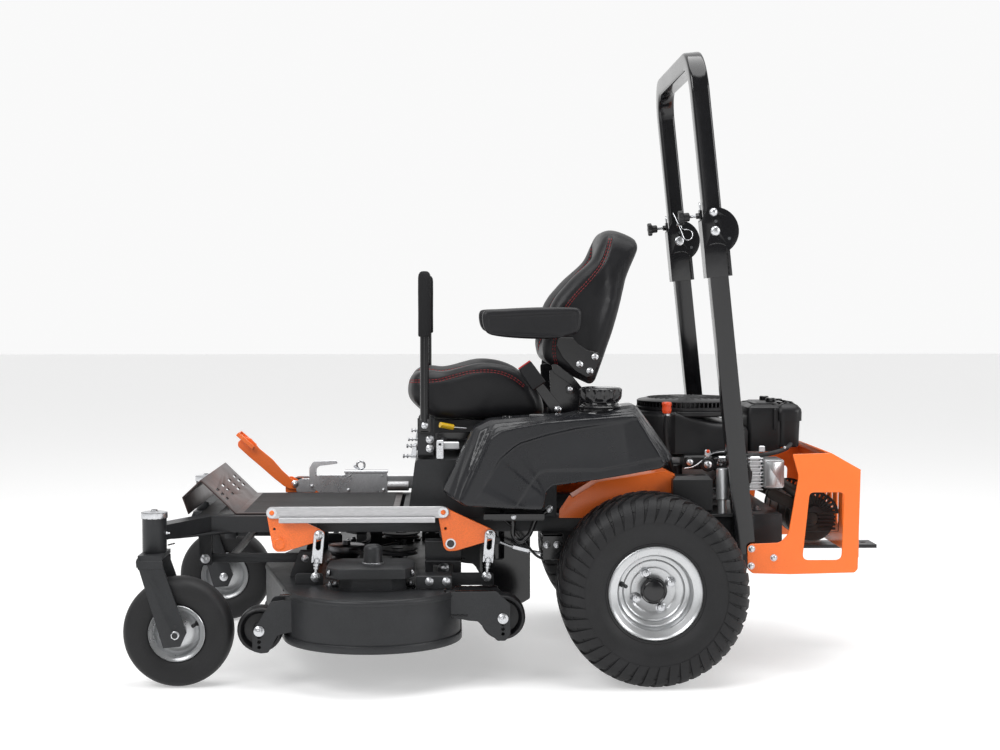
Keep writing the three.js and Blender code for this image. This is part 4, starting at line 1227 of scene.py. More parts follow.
def roll_bar():
    rise, bend, y = 477, 100, 362
    path = [(0, -y, 0), (0, -y, (rise - bend) / 2), (0, -y, rise - bend)]
    path += [(0, -y + bend - bend * math.cos(a), rise - bend + bend * math.sin(a))
             for a in [math.pi / 2 * k / 10 for k in range(1, 11)]]
    path += [(0, -py, z) for _, py, z in path[::-1]]
    square = rounded([(-25, -25), (25, -25), (25, 25), (-25, 25)], 8, 4)
    shapes = [swept(path, square, first_normal=(1, 0, 0))]
    for s in (-1, 1):
        shapes.append(rod("y", 25, s * (y - 25), s * (y + 25), (0, 0, 0), 28, 6))
        shapes.append(rod("y", 7.4, s * (y - 33), s * (y + 33), (0, 0, 0), 16))
    piece("roll_bar_hoop", moved(merged(shapes), ROLL), "gloss_black", "rops_hoop", ["rops_hoop"])
    heads = []
    for s in (-1, 1):
        heads.append(dome("y", (0, s * 393.3, 0), s, 13.5, 6))
        heads.append(bolt((0, s * 330.7, 0), "y", -s, across=12, head=7, washer=14, nut=False))
    piece("roll_bar_pivot_heads", moved(merged(heads), ROLL), "zinc", "rops_hoop")


def roll_bar_lock(name, s):
    y = s * 362
    piece(f"lock_pin_head_{name}", moved(merged([dome("y", (0, s * 393.3, 51), s, 12, 9),
                                                 rod("y", 5.8, s * 388.6, s * 394, (0, 0, 51), 16)]), ROLL),
          "zinc", f"rops_lock_pin_{name}", [f"rops_lock_pin_{name}"])
    holder = [plate(rounded([(y - 13, 31.5), (y + 13, 31.5), (y + 13, 62), (y - 13, 62)], 4), "x", -35, -28)]
    holder.append(rod("x", 9, -44, -34, (0, y, 46), 6, 1))
    piece(f"knob_holder_{name}", moved(merged(holder), ROLL), "gloss_black", "chassis")
    thread = [(4.2 - 0.5 * (k % 2), -34 - k * 0.9) for k in range(36)]
    stem = turned([(0.01, -34)] + thread + [(0.01, -66)], "x", (0, y, 46), 16)
    piece(f"knob_stem_{name}", moved(stem, ROLL), "zinc", "chassis")
    neck = turned([(0.01, -62), (10, -62), (12, -64), (12, -79), (0.01, -79)], "x", (0, y, 46), 28)
    star = []
    for k in range(40):
        a = 2 * math.pi * k / 40
        r = 17.5 + 3.6 * math.cos(5 * a)
        star.append((y + r * math.cos(a), 46 + r * math.sin(a)))
    grip = stacked(star, [(-78, 2), (-80, 0), (-89, 0), (-91.5, 3)], "x")
    piece(f"lock_knob_{name}", moved(merged([neck, grip]), ROLL), "engine_plastic", "chassis")
    loop_points = [(-31, y - 5, 62), (-31, y - 6, 74), (-31, y - 3, 81), (-31, y + 3, 81), (-31, y + 6, 74),
                   (-31, y + 5, 62)]
    wire = [tube(smooth_path(loop_points, 6), 1.7, 8)]
    inner = y - s * 34.5
    wire.append(rod("y", 5.2, y - s * 31.3, y - s * 44, (0, 0, 51), 14))
    clip = [(-12, 88), (-7, 74), (0, 52), (8, 28), (14, 8), (24, 0), (37, 4), (42, 16), (38, 28), (27, 33),
            (17, 34),
            (10, 40), (8, 47), (9, 56), (6, 70)]
    wire.append(tube(smooth_path([(x, inner - s * 4, z) for x, z in clip], 5), 1.6, 8))
    piece(f"spring_clip_{name}", moved(merged(wire), ROLL), "zinc", "chassis")
    rng = random.Random(31 + s)
    beads = []
    for edge_y in (y - 31.4, y + 31.4):
        for k in range(22):
            beads.append(turned([(0.01, -2.2), (1.7 + rng.random() * 0.5, -1), (1.9 + rng.random() * 0.4, 1),
                                 (0.01, 2.2)], "z", (26 + rng.random(), edge_y, -120 + k * 3.3), 7))
    for k in range(34):
        a = -2.1 + 0.045 * k
        for face in (y - 31.4, y + 31.4):
            beads.append(turned([(0.01, -1.2), (1.5, 0), (0.01, 1.2)], "y",
                                (34 * math.cos(a) * 0.9 - 2, face, -52 - 6 * math.sin(a) * 3), 6))
    piece(f"sleeve_weld_{name}", moved(merged(beads), ROLL), "gloss_black", "chassis")
    holes = [turned([(0.01, face), (4.2, face), (4.4, face + f * 0.5), (0.01, face + f * 0.5)], "y",
            (x, 0, z), 16)
             for face, f in ((y + s * 31.05, s), (y - s * 31.05, -s)) for x, z in ((36, -24), (4, 26))]
    piece(f"cheek_holes_{name}", moved(merged(holes), ROLL), "cast", "chassis")


roll_bar()
for side_name, side_sign in SIDES:
    roll_bar_lock(side_name, side_sign)


# ------------------------------------------------------------------ steering levers
def steering_lever(name, s):
    x, y = -264, s * 335
    foam = [(13, 925), (16.2, 926), (17.4, 930), (17.2, 990), (17.6, 1050), (17.4, 1086), (16.2, 1095),
            (13, 1101),
            (8, 1104.4), (0.01, 1105), (0.01, 925)]
    piece(f"lever_grip_{name}", turned(foam, "z", (x, y, 0), 36), "foam", f"control_lever_{name}")
    steel = [rod("z", 12.3, 672, 930, (x, y, 0), 28, 2)]
    boss = rounded([(x - 17, 660), (x + 17, 660), (x + 17, 705), (x + 9, 716), (x - 9, 716),
            (x - 17, 705)], 4)
    steel.append(plate(boss, "y", s * 313.3, s * 321))
    steel.append(block(x - 12, x + 12, min(s * 320, s * 345), max(s * 320, s * 345), 664, 700, 3))
    piece(f"lever_stem_{name}", steel, "gloss_black", f"control_lever_{name}", [f"control_lever_{name}"])
    heads = [bolt((x, s * 345, 682), "y", s, across=6, head=4, washer=9, nut=False)]
    piece(f"lever_bolts_{name}", heads, "zinc", f"control_lever_{name}")
    mount = f"lever_pivot_{name}"
    tower = [bolt((-250, s * 312, z), "y", s, across=7, head=4, washer=11, nut=False) for z in (641, 616)]
    piece(f"lever_tower_bolts_{name}", tower, "zinc", mount)


for side_name, side_sign in SIDES:
    steering_lever(side_name, side_sign)


# ------------------------------------------------------------------ engine
CRANKSHAFT_X = 508
SHROUD_RADIUS = 166
FAN_RADIUS = 150


def blower():
    """The shroud with its sloping rear deck, and the slotted screen that turns over the fan."""
    x = CRANKSHAFT_X
    outline = arc((x, 0), SHROUD_RADIUS, math.pi / 2 + 0.35, 3 * math.pi / 2 - 0.35, 30)
    outline += [(560, -152), (650, -152), (664, -138), (664, 138), (650, 152), (560, 152)]
    loop = rounded(outline, [1] * 31 + [30, 12, 10, 10, 12, 30], 3)
    if loop_area(loop) < 0:
        loop.reverse()
    points, faces = stacked(loop, [(585.2, 0), (600, 0), (690, 0), (700, 4), (706, 12), (709, 24)])
    slope = []
    for px, py, pz in points:
        drop = 42 * smoothstep(470, 600, px) if pz > 640 else 0
        slope.append((px, py, pz - drop))
    shapes = [(slope, faces)]
    for a in (2.2, 2.9, 3.55, 4.1):
        lug_x, lug_y = x + SHROUD_RADIUS * math.cos(a), SHROUD_RADIUS * math.sin(a)
        shapes.append(rod("z", 9, 586, 604, (lug_x, lug_y, 0), 16, 2))
    shapes.append(rod("z", 154, 690, 708, (x, 0, 0), 64, 4))
    piece("blower_cover", shapes, "engine_plastic", "chassis", ["blower_housing"])
    flange_bolts = [bolt((x + SHROUD_RADIUS * math.cos(a), SHROUD_RADIUS * math.sin(a), 604), "z", 1,
            across=5, head=4, washer=7,
                         nut=False) for a in (2.2, 2.9, 3.55, 4.1)]
    piece("blower_bolts", flange_bolts, "zinc", "chassis")
    skirt = turned([(FAN_RADIUS, 708.4), (153, 708.4), (153, 715), (150, 717), (0.01, 717), (0.01, 709)],
            "z", (x,
            0, 0), 72)
    crown = turned([(0.01, 744), (60, 743.4), (100, 741.8), (128, 739.4), (145, 736), (150.5, 733),
            (150.5, 731),
                    (140, 731), (0.01, 736)], "z", (x, 0, 0), 72)
    core = turned([(0.01, 716), (136, 716), (136, 733), (0.01, 733)], "z", (x, 0, 0), 48)
    fins = []
    for k in range(72):
        turn = Matrix.Translation((x, 0, 0)) @ Matrix.Rotation(2 * math.pi * k / 72, 4, "Z")
        fins.append(moved(block(136, FAN_RADIUS, -1.8, 1.8, 716, 732, 0.5), turn))
    ribs = []
    for k in range(36):
        turn = Matrix.Translation((x, 0, 0)) @ Matrix.Rotation(2 * math.pi * k / 36, 4, "Z")
        bar = [(56, -1.4, 743.8), (120, -1.4, 740.4), (120, 1.4, 740.4), (56, 1.4, 743.8)]
        top = [(a, b, c + 1.6) for a, b, c in bar]
        ribs.append(moved((bar + top, [(3, 2, 1, 0), (4, 5, 6, 7), (0, 1, 5, 4), (1, 2, 6, 5), (2, 3, 7, 6),
                                       (3, 0, 4, 7)]), turn))
    piece("fan_screen", [skirt, crown, core] + fins + ribs, "engine_plastic", "chassis")


def air_filter():
    """A lidded canister on a set-back box, with four knobs and a breather hose."""
    near = rounded([(752, -113), (828, -113), (828, 113), (752, 113)], 26, 6)
    side = rounded([(668, -104), (770, -104), (770, 104), (668, 104)], 16, 5)
    canister = stacked(near, [(600, 12), (603, 8), (682, 5)])
    lid = stacked(near, [(677, 2), (676, 0), (700, -0.5), (710, 1), (722, 12), (731, 34)])
    box = stacked(side, [(587, 6), (590, 2), (668, 0), (700, 0), (714, 3), (721, 12), (725, 26)])
    ridge = stacked(rounded([(690, -84), (760, -84), (760, 84), (690, 84)], 14, 5), [(715, 0), (726, 2),
            (729, 12)])
    rib = [block(744, 750, -112, -104, 650, 712, 1.5), block(744, 750, 104, 112, 650, 712, 1.5)]
    piece("air_filter_box", [canister, lid, box, ridge] + rib, "engine_plastic", "chassis", ["air_cleaner"])
    knobs = []
    for kx, ky, base, top in ((744, -50, 722, 741), (776, -50, 718, 730), (744, 50, 722, 741), (776, 50,
            718, 730)):
        knobs.append(turned([(0.01, base), (9, base), (9, base + 6), (13.5, base + 7), (14, base + 9),
                             (14, top - 2), (12, top), (0.01, top)], "z", (kx, ky, 0), 12))
    piece("air_filter_knobs", knobs, "gloss_black", "chassis")
    elbow = smooth_path([(632, -196, 582), (672, -200, 584), (704, -202, 588), (736, -196, 594),
            (768, -170, 602),
                         (790, -120, 610)], 6)
    piece("breather_hose", [tube(elbow, 6.5, 12)], "rubber", "chassis")
    clips = [block(684, 700, -206, -196, 594, 612, 2), dome("y", (760, -190, 606), -1, 4, 2)]
    piece("hose_clips", clips, "zinc", "chassis")


def engine_block():
    """Crankcase, finned cylinders and valve covers facing the two sides."""
    core = [block(404, 616, -108, 108, 440, 584, 12), block(432, 600, -128, 128, 428.6, 446, 6)]
    for _, s in SIDES:
        core.append(block(632, 700, min(s * 96, s * 172), max(s * 96, s * 172), 486, 584, 8))
        for k in range(10):
            z = 489 + 9.8 * k
            core.append(block(648, 690, min(s * 150, s * 236), max(s * 150, s * 236), z, z + 3.2, 0.8))
        core.append(block(654, 684, min(s * 150, s * 228), max(s * 150, s * 228), 489, 584, 3))
        core.append(rod("z", 10, 492, 578, (640, s * 216, 0), 24, 3))
        core.append(rod("z", 7, 470, 500, (634, s * 200, 0), 18, 2))
    piece("engine_castings", core, "aluminium", "chassis", ["engine_block"])
    for name, s in SIDES:
        loop = rounded([(689, 495), (749, 495), (749, 577), (689, 577)], 9, 6)
        y = [s * v for v in (150, 238, 245, 249)]
        points, faces = [], []
        for level, inset in zip(y, (0, 0, 1.5, 7)):
            points.extend((a, level, b) for a, b in (shrunk(loop, inset) if inset else loop))
        n = len(loop)
        for i in range(3):
            faces += [(i * n + k, i * n + (k + 1) % n, (i + 1) * n + (k + 1) % n, (i + 1) * n + k)
                    for k in range(n)]
        faces += [tuple(range(n))[::-1], tuple(range(3 * n, 4 * n))]
        piece(f"valve_cover_{name}", (points, faces), "rim", "chassis")
        heads = [bolt((683, s * 228, 500 + 18 * k), "y", s, across=3.2, head=5, washer=4.6, nut=False)
                for k in range(5)]
        heads += [bolt((640, s * 226, z), "y", s, across=5, head=4, washer=8, nut=False) for z in (486, 470)]
        piece(f"head_bolts_{name}", heads, "zinc", "chassis")
        lead = [(560, s * 150, 590), (600, s * 190, 596), (640, s * 236, 570), (650, s * 246, 545), (648,
                s * 244, 520)]
        boot = [(650, s * 246, 545), (650, s * 246, 528), (648, s * 240, 512)]
        piece(f"spark_lead_{name}", [tube(smooth_path(lead, 6), 3.4, 10),
                tube(smooth_path(boot, 4), 7, 12)], "rubber",
              "chassis")
    body = [block(470, 552, -196, -132, 545, 584, 5), rod("y", 20, -214, -150, (536, 0, 560), 28, 3),
            rod("y", 13, -206, -150, (486, 0, 566), 24, 2), block(556, 596, -190, -140, 540, 578, 4),
            rod("x", 13, 552, 640, (0, -170, 556), 24, 2)]
    piece("carburettor", body, "engine_plastic", "chassis")
    bits = [bolt((536, -214, 560), "y", -1, across=8, head=6, washer=11, nut=False),
            bolt((486, -206, 566), "y", -1, across=6, head=5, washer=9, nut=False),
            bolt((574, -190, 562), "y", -1, across=5, head=4, washer=8, nut=False),
            tube(smooth_path([(470, -200, 548), (500, -208, 556), (548, -208, 590), (590, -204, 596),
                              (610, -190, 586)], 5), 1.6, 8),
            rod("x", 11, 566, 592, (0, -206, 574), 24, 2),
            plate(rounded([(527, 602), (541, 602), (545, 590), (537, 580), (526, 588)], 3), "y", -218, -215)]
    piece("throttle_linkage", bits, "zinc", "chassis")
    piece("choke_clip", [dome("y", (536, -218, 598), -1, 5, 3)], "red_orange", "chassis")
    for name, s in SIDES:
        can = [rod("z", 17, 474, 560, (559, s * 330, 0), 32, 2), rod("z", 12, 430, 476, (559, s * 330, 0),
                24, 1)]
        piece(f"filter_can_{name}", can, "rim", "chassis")
        tray = [block(410, 620, min(s * 262, s * 352), max(s * 262, s * 352), 428.5, 436, 2),
                block(420, 530, min(s * 270, s * 345), max(s * 270, s * 345), 436, 540, 10)]
        piece(f"side_tray_{name}", tray, "engine_plastic", "chassis")
    starter = [rod("z", 27, 446, 556, (446, -142, 0), 32, 3), rod("z", 14, 470, 548, (404, -146, 0), 20, 2),
               rod("y", 37, -176, -140, (596, 0, 500), 36, 4)]
    piece("starter_motor", starter, "engine_plastic", "chassis")
    oil_filter = turned([(0.01, -214), (26, -214), (33, -209), (36, -200), (36, -182), (33, -176),
            (0.01, -176)], "y",
                        (596, 0, 500), 40)
    piece("oil_filter", [oil_filter], "gloss_black", "chassis")
    wires = []
    for k, (z, sag) in enumerate(((472, 14), (486, 20), (458, 26))):
        wires.append(tube(smooth_path([(398, -196 - 3 * k, z), (440, -204, z - sag),
                (500, -206, z - sag * 0.4),
                                       (556, -214, z + 6), (640, -218, z + 2)], 6), 3.2, 8))
    piece("wiring_loom", wires, "rubber", "chassis")


def dipstick():
    tube_path = smooth_path([(452, -168, 500), (430, -176, 580), (420, -180, 650), (423, -180, 702)], 6)
    piece("dipstick_tube", [tube(tube_path, 7, 14)], "engine_plastic", "chassis")
    piece("dipstick_ring", [turned([(7, 697), (10, 697), (10.5, 703), (7, 705)], "z", (423, -180, 0), 20,
                                   closed=True)], "zinc", "chassis")
    cap = turned([(0.01, 704), (11, 704), (12.5, 707), (13.5, 714), (12.8, 719), (12.8, 724), (14, 728),
            (14, 733),
                  (12, 736), (0.01, 737)], "z", (423, -180, 0), 24)
    piece("dipstick_cap", [cap], "red_orange", "chassis")


def muffler_details():
    centre = (838, 0, 402)
    bands = [turned([(61, y - 5), (63.5, y - 5), (63.5, y + 5), (61, y + 5)], "y", centre, 48, closed=True)
             for y in (-120, 0, 120)]
    ends = []
    for s in (-1, 1):
        ends.append(turned([(0.01, s * 189), (60, s * 189), (64, s * 190), (65, s * 193), (62, s * 194.5),
                            (54, s * 191), (22, s * 191), (18, s * 195), (0.01, s * 195)], "y", centre, 48))
    piece("muffler_bands", bands + ends, "exhaust", "chassis")
    pipe = smooth_path([(740, -150, 520), (760, -176, 500), (790, -182, 478), (812, -176, 452)], 6)
    pipe_right = [(x, -y, z) for x, y, z in pipe]
    outlet = smooth_path([(846, 150, 346), (858, 176, 338), (884, 190, 334), (900, 190, 334)], 5)
    piece("exhaust_pipes", [tube(pipe, 15, 18), tube(pipe_right, 15, 18), tube(outlet, 17, 18)], "exhaust",
            "chassis")


blower()
air_filter()
engine_block()
dipstick()
muffler_details()


# ------------------------------------------------------------------ deck
PODS = [(-402, -440), (-500, 0), (-402, 440)]
POD_RADIUS = 235
POD_TILT = math.atan2(98, 440)
OPENING = (1.26, 2.308)


LIFT_SHAFT_X = {"front": -655, "rear": -193}
LIFT_SHAFT_Z = 366
HANGER_PIN = (107, 24)      # from a lift shaft to its crank's hanger pin
BAR_PIVOT = (-20, 86)       # from a lift shaft to the lift bar's pivot
HANGER_FOOT = (-10, -113)   # from a hanger's pin to its eye on the deck
CRANK_INSIDE, CRANK_OUTSIDE = 405, 413
LINK_OUTSIDE = 420


def deck_loop(radius=POD_RADIUS):
    """The deck's outline from above, counterclockwise from the rear of the right pod."""
    loop = arc(PODS[2], radius, 0.0, math.pi - POD_TILT, 30)
    loop += arc(PODS[1], radius, math.pi - POD_TILT, math.pi + POD_TILT, 8)
    loop += arc(PODS[0], radius, math.pi + POD_TILT, 2 * math.pi, 30)
    return loop


def deck():
    wall = arc(PODS[2], POD_RADIUS, OPENING[1], math.pi - POD_TILT, 12)
    wall += arc(PODS[1], POD_RADIUS, math.pi - POD_TILT, math.pi + POD_TILT, 8)
    wall += arc(PODS[0], POD_RADIUS, math.pi + POD_TILT, 2 * math.pi, 36)
    wall += arc(PODS[2], POD_RADIUS, 0.0, OPENING[0], 16)
    skirt = [(5, 118), (-3.2, 118), (-4.4, 119.5), (-4.4, 137), (-3.6, 138.5), (0, 138.7), (0, 240), (-1.8,
            242), (-2.6, 247),
             (-1.2, 251.5), (1.5, 254), (5, 254)]
    over = [(0, 236), (0, 251), (5, 251), (5, 236)]

    def wall_of(path, section):
        points, faces = [], []
        n = len(section)
        for i, (x, y) in enumerate(path):
            a = Vector(path[max(i - 1, 0)])
            b = Vector(path[min(i + 1, len(path) - 1)])
            inward = Vector((-(b.y - a.y), b.x - a.x)).normalized()
            for depth, z in section:
                points.append((x + inward.x * depth, y + inward.y * depth, z))
        for i in range(len(path) - 1):
            for k in range(n):
                j = (k + 1) % n
                faces.append((i * n + k, i * n + j, (i + 1) * n + j, (i + 1) * n + k))
        faces.append(tuple(range(n)))
        faces.append(tuple(range((len(path) - 1) * n, len(path) * n))[::-1])
        return points, faces

    loop = deck_loop()
    holes = [circle(x, y, 16, 24) for x, y in PODS]
    shapes = [wall_of(wall, skirt), wall_of(arc(PODS[2], POD_RADIUS, *OPENING, 12), over)]
    shapes.append(plate(loop, "z", 251, 256, holes=holes, edge=2))
    shapes.append(plate(rounded([(-560, 600), (-330, 600), (-330, 674), (-560, 674)], 6), "z", 250.8, 255.6))
    for x, y in PODS:
        shapes.append(turned([(17, 255), (60, 255), (62, 258), (60, 261), (40, 264), (34, 270), (32, 276),
                (17, 276)],
                             "z", (x, y, 0), 40, closed=True))
        if x == PODS[1][0]:
            shapes.append(turned([(44, 276), (46, 281), (46, 284), (17, 284), (17, 276)], "z", (x, y, 0), 40,
                                 closed=True))
    for _, s in SIDES:
        for y in (456, 538):
            front = rounded([(-560, 158), (-560, 240), (-630, 237), (-667, 232), (-715, 152), (-715, 102),
                             (-692, 96), (-673, 98), (-648, 144), (-629, 149)], [4, 8, 10, 14, 14, 8, 8, 8,
                             8, 6])
            rear = rounded([(-196, 190), (-196, 256), (-72, 257), (-35, 223), (-35, 145), (-48, 126),
                    (-70, 126),
                            (-122, 178), (-146, 180)], [4, 8, 8, 6, 6, 8, 8, 10, 6])
            spots = [(-697, 140), (-697, 126), (-697, 112)]
            shapes.append(plate(front, "y", s * y, s * (y + 8),
                    holes=[circle(a, b, 4.6, 14) for a, b in spots]))
            spots = [(-55, 170), (-55, 157), (-55, 144)]
            shapes.append(plate(rear, "y", s * y, s * (y + 8),
                    holes=[circle(a, b, 4.6, 14) for a, b in spots]))
        for x, z in ((-697, 155), (-55, 185)):
            shapes.append(rod("y", 8, s * 458, s * 546, (x, 0, z), 16))
        for end, left, right in (("front", -56, 20), ("rear", -180, 20)):
            x = LIFT_SHAFT_X[end] + HANGER_PIN[0] + HANGER_FOOT[0]
            shapes.append(plate(rounded([(x + left, 252), (x + right, 252), (x + right, 280),
                    (x + right - 6, 286),
                                         (x + left + 6, 286), (x + left, 280)], 4), "y", s * 402, s * 411.5))
            shapes.append(rod("y", 6, s * 405, s * 427, (x, 0, 277), 16))
        for y in (250, 282):
            shapes.append(plate(rounded([(-642, 253), (-572, 253), (-572, 300), (-580, 328), (-614, 328)],
                    8), "y",
                                s * y, s * (y + 8)))
        shapes.append(block(-285, -190, min(s * 430, s * 500), max(s * 430, s * 500), 254, 292, 2))
        tower = [(-263, 256), (-263, 372), (-164, 372), (-164, 256), (-186, 256), (-186, 300), (-241, 300),
                (-241, 256)]
        shapes.append(plate(rounded(tower, 4), "y", s * 352, s * 357))
        shapes.append(block(-263, -164, min(s * 345, s * 396), max(s * 345, s * 396), 312, 317, 1))
        shapes.append(block(-263, -164, min(s * 345, s * 396), max(s * 345, s * 396), 366, 371, 1))
    piece("mower_deck", shapes, "charcoal", "deck", ["deck_shell"])
    rng = random.Random(5)
    beads = []
    lines = []
    for _, s in SIDES:
        for y in (456, 464, 538, 546):
            lines.append(((-640, s * y, 248), (-575, s * y, 253)))
            lines.append(((-208, s * y, 196), (-208, s * y, 262)))
            lines.append(((-180, s * y, 257), (-70, s * y, 257)) if y in (464, 538)
                    else ((-200, s * y, 194), (-150, s * y, 194)))
        lines.append(((-292, s * 430, 257), (-292, s * 500, 257)))
        lines.append(((-290, s * 502, 257), (-190, s * 502, 257)))
    for a, b in lines:
        a, b = Vector(a), Vector(b)
        count = max(int((b - a).length / 3.2), 2)
        for k in range(count):
            p = a.lerp(b, k / (count - 1))
            r = 2.6 + rng.random() * 1.1
            beads.append(moved(turned([(0.01, -r), (r * 0.8, -r * 0.5), (r, 0.4), (0.01, r)], "z",
                    (0, 0, 0), 7),
                               Matrix.Translation(p + Vector((0, 0, rng.random() * 0.8)))))
    piece("deck_weld_beads", beads, "gloss_black", "deck")
    heads = []
    for _, s in SIDES:
        heads.append(bolt((-697, s * 546, 155), "y", s, across=9.5, head=7, washer=14))
        heads.append(bolt((-55, s * 546, 185), "y", s, across=9.5, head=7, washer=14))
        for shaft in (-655, -193):
            heads.append(bolt((shaft + 97, s * 420.4, 277), "y", s, across=9, head=6, washer=13))
        heads += [bolt((x, s * 500, 277), "y", s, across=7.5, head=5, washer=11) for x in (-250, -205)]
        heads.append(bolt((-213, s * 357, 290), "y", s, across=9, head=5, washer=16, nut=False))
        heads += [bolt((-597, s * y, 309), "y", t, across=7, head=5, washer=10) for y, t in ((290, s),
                (250, -s))]
        heads += [bolt((x, s * 420, 256), "z", 1, across=6.5, head=5, washer=11) for x in (-520, -318)]
    for x, y in PODS:
        for k in range(6):
            a = math.pi / 3 * k + 0.3
            heads.append(bolt((x + 52 * math.cos(a), y + 52 * math.sin(a), 260), "z", 1, across=5.5, head=4,
                              washer=8, nut=False))
    piece("deck_bolts", heads, "zinc", "deck")
    pulleys = [turned([(18, 304), (56, 304), (58, 306), (50, 310), (50, 314), (58, 318), (56, 320),
            (18, 320)], "z",
                      (-344, y, 0), 40, closed=True) for y in (-170, 170)]
    piece("idler_pulleys", pulleys, "cast", "deck")
    posts = [rod("z", 17, 256, 322, (-344, y, 0), 20) for y in (-170, 170)]
    arm = plate(rounded([(-366, -190), (-322, -190), (-300, 60), (-330, 70), (-356, 40)], 10), "z", 288, 294)
    piece("idler_arm", posts + [arm], "charcoal", "deck")
    run = [(-402, -388), (-402, -300), (-396, -222), (-402, -120), (-446, -30), (-500, 54), (-446, 30),
            (-402, 120),
           (-396, 222), (-402, 300), (-402, 388)]
    belt_section = [(-7, -4), (7, -4), (5, 4), (-5, 4)]
    belts = [swept(smooth_path([(x + dx, y, 296) for x, y in run], 4), belt_section, first_normal=(1, 0, 0))
             for dx in (-48, 48)]
    piece("drive_belt", belts, "belt", "deck")


def belt_cover(name, s):
    x0, y0 = -402, s * 440
    corners = [(-90, -52), (-52, -90), (52, -90), (90, -52), (90, 52), (52, 90), (-52, 90), (-90, 52)]
    loop = rounded([(x0 + a, y0 + b) for a, b in corners], 9, 4)
    shell = stacked(loop, [(256.4, 0), (296, 0)])
    rim = stacked(loop, [(256.4, -3), (260, -3), (260.6, 0)])
    wide = [(-122, -56), (-88, -98), (88, -98), (112, -56), (112, 56), (88, 98), (-88, 98), (-122, 56)]
    top = rounded([(x0 + a, y0 + b) for a, b in wide], 6, 4)
    rim = merged([rim, stacked(top, [(291, 1), (290, 0), (312, 0), (315.5, 1.5), (317, 5)])])
    cap = turned([(0.01, 316), (27, 316), (27, 322), (25.5, 325), (25.2, 356), (23.4, 363), (17, 368),
            (0.01, 369.5)],
                 "z", (x0, y0, 0), 40)
    ears = [block(x0 + t * 99 - 12, x0 + t * 99 + 12, y0 - 14, y0 + 14, 256.4, 262, 2) for t in (-1, 1)]
    piece(f"pulley_cover_{name}", [shell, rim, cap] + ears, "charcoal", "deck", [f"belt_cover_{name}"])
    heads = [bolt((x0 + t * 102, y0, 262), "z", 1, across=6, head=5, washer=9, nut=False) for t in (-1, 1)]
    heads.append(bolt((x0 - 112, y0 + s * 70, 303), "x", -1, across=5, head=4, washer=8, nut=False))
    heads.append(bolt((x0 + 106, y0 + s * 70, 303), "x", 1, across=5, head=4, washer=8, nut=False))
    heads.append(turned([(24, 316), (28.5, 317), (29, 320), (25.8, 322)], "z", (x0, y0, 0), 40, closed=True))
    piece(f"pulley_cover_bolts_{name}", heads, "zinc", "deck")


deck()
for side_name, side_sign in SIDES:
    belt_cover(side_name, side_sign)


# ------------------------------------------------------------------ linkages
def link_details(end, shaft_x):
    """One lift shaft with its two cranks, their bolts and the two hangers below them."""
    shaft = (shaft_x, LIFT_SHAFT_Z)
    pin = (shaft[0] + HANGER_PIN[0], shaft[1] + HANGER_PIN[1])
    bar = (shaft[0] + BAR_PIVOT[0], shaft[1] + BAR_PIVOT[1])
    outline = [(-35, 84), (-19, -9), (-9, -21), (14, -20), (98, 5), (119, 13), (122, 31), (107, 41), (0, 91),
               (-12, 99), (-29, 98)]
    corners = rounded([(shaft[0] + a, shaft[1] + b) for a, b in outline], [8, 13, 14, 14, 14, 12, 12, 12,
            10, 8, 8], 5)
    spot = circle(shaft[0] - 14, shaft[1] + 41, 3.7, 16)
    cranks = [plate(list(corners), "y", s * CRANK_INSIDE, s * CRANK_OUTSIDE, holes=[list(spot)], edge=1.2)
            for _, s in SIDES]
    body = f"{end}_lift_shaft"
    if end == "front":
        for _, s in SIDES:
            cranks.append(turned([(11, s * 412.8), (12, s * 414), (15, s * 414), (16.5, s * 412.8)], "y",
                                 (shaft[0], 0, shaft[1]), 36, closed=True))
            for k in range(4):
                a = 0.5 + 0.35 * k
                cranks.append(dome("y", (shaft[0] + 20 * math.cos(a), s * 412.2, shaft[1]
                        + 20 * math.sin(a)), s, 1.8, 0.8))
    piece(f"{end}_cranks", cranks, "orange", body, [f"{end}_lift_shaft"])
    piece(f"{end}_cross_shaft", [rod("y", 12, -406, 406, (shaft[0], 0, shaft[1]), 28, 1)], "gloss_black",
            body)
    for name, s in SIDES:
        heads = [bolt((pin[0], s * (LINK_OUTSIDE + 0.2), pin[1]), "y", s, across=8.5, head=6, washer=12),
                 rod("y", 6.2, s * 413, s * 423, (pin[0], 0, pin[1]), 14)]
        if end == "rear":
            heads.append(turned([(10, s * 413.2), (14, s * 413.2), (14, s * 415), (10, s * 415)], "y",
                                (shaft[0], 0, shaft[1]), 32, closed=True))
            stub = [rod("y", 10, s * 413, s * 416.5, (shaft[0], 0, shaft[1]), 28)]
            piece(f"crank_shaft_end_{name}", stub, "gloss_black", body)
        piece(f"crank_bolts_{end}_{name}", heads, "zinc", body)
        washer = [turned([(7, s * 420), (13.5, s * 420), (13.5, s * 421.4), (7, s * 421.4)], "y",
                (bar[0], 0, bar[1]),
                         32, closed=True)]
        piece(f"bar_washer_{end}_{name}", washer, "zinc", f"lift_bar_{name}")
        button = dome("y", (bar[0], s * LINK_OUTSIDE, bar[1]), s, 6.8, 2.4)
        piece(f"bar_pin_{end}_{name}", button, "orange", f"lift_bar_{name}")
        hanger(end, name, s, pin)


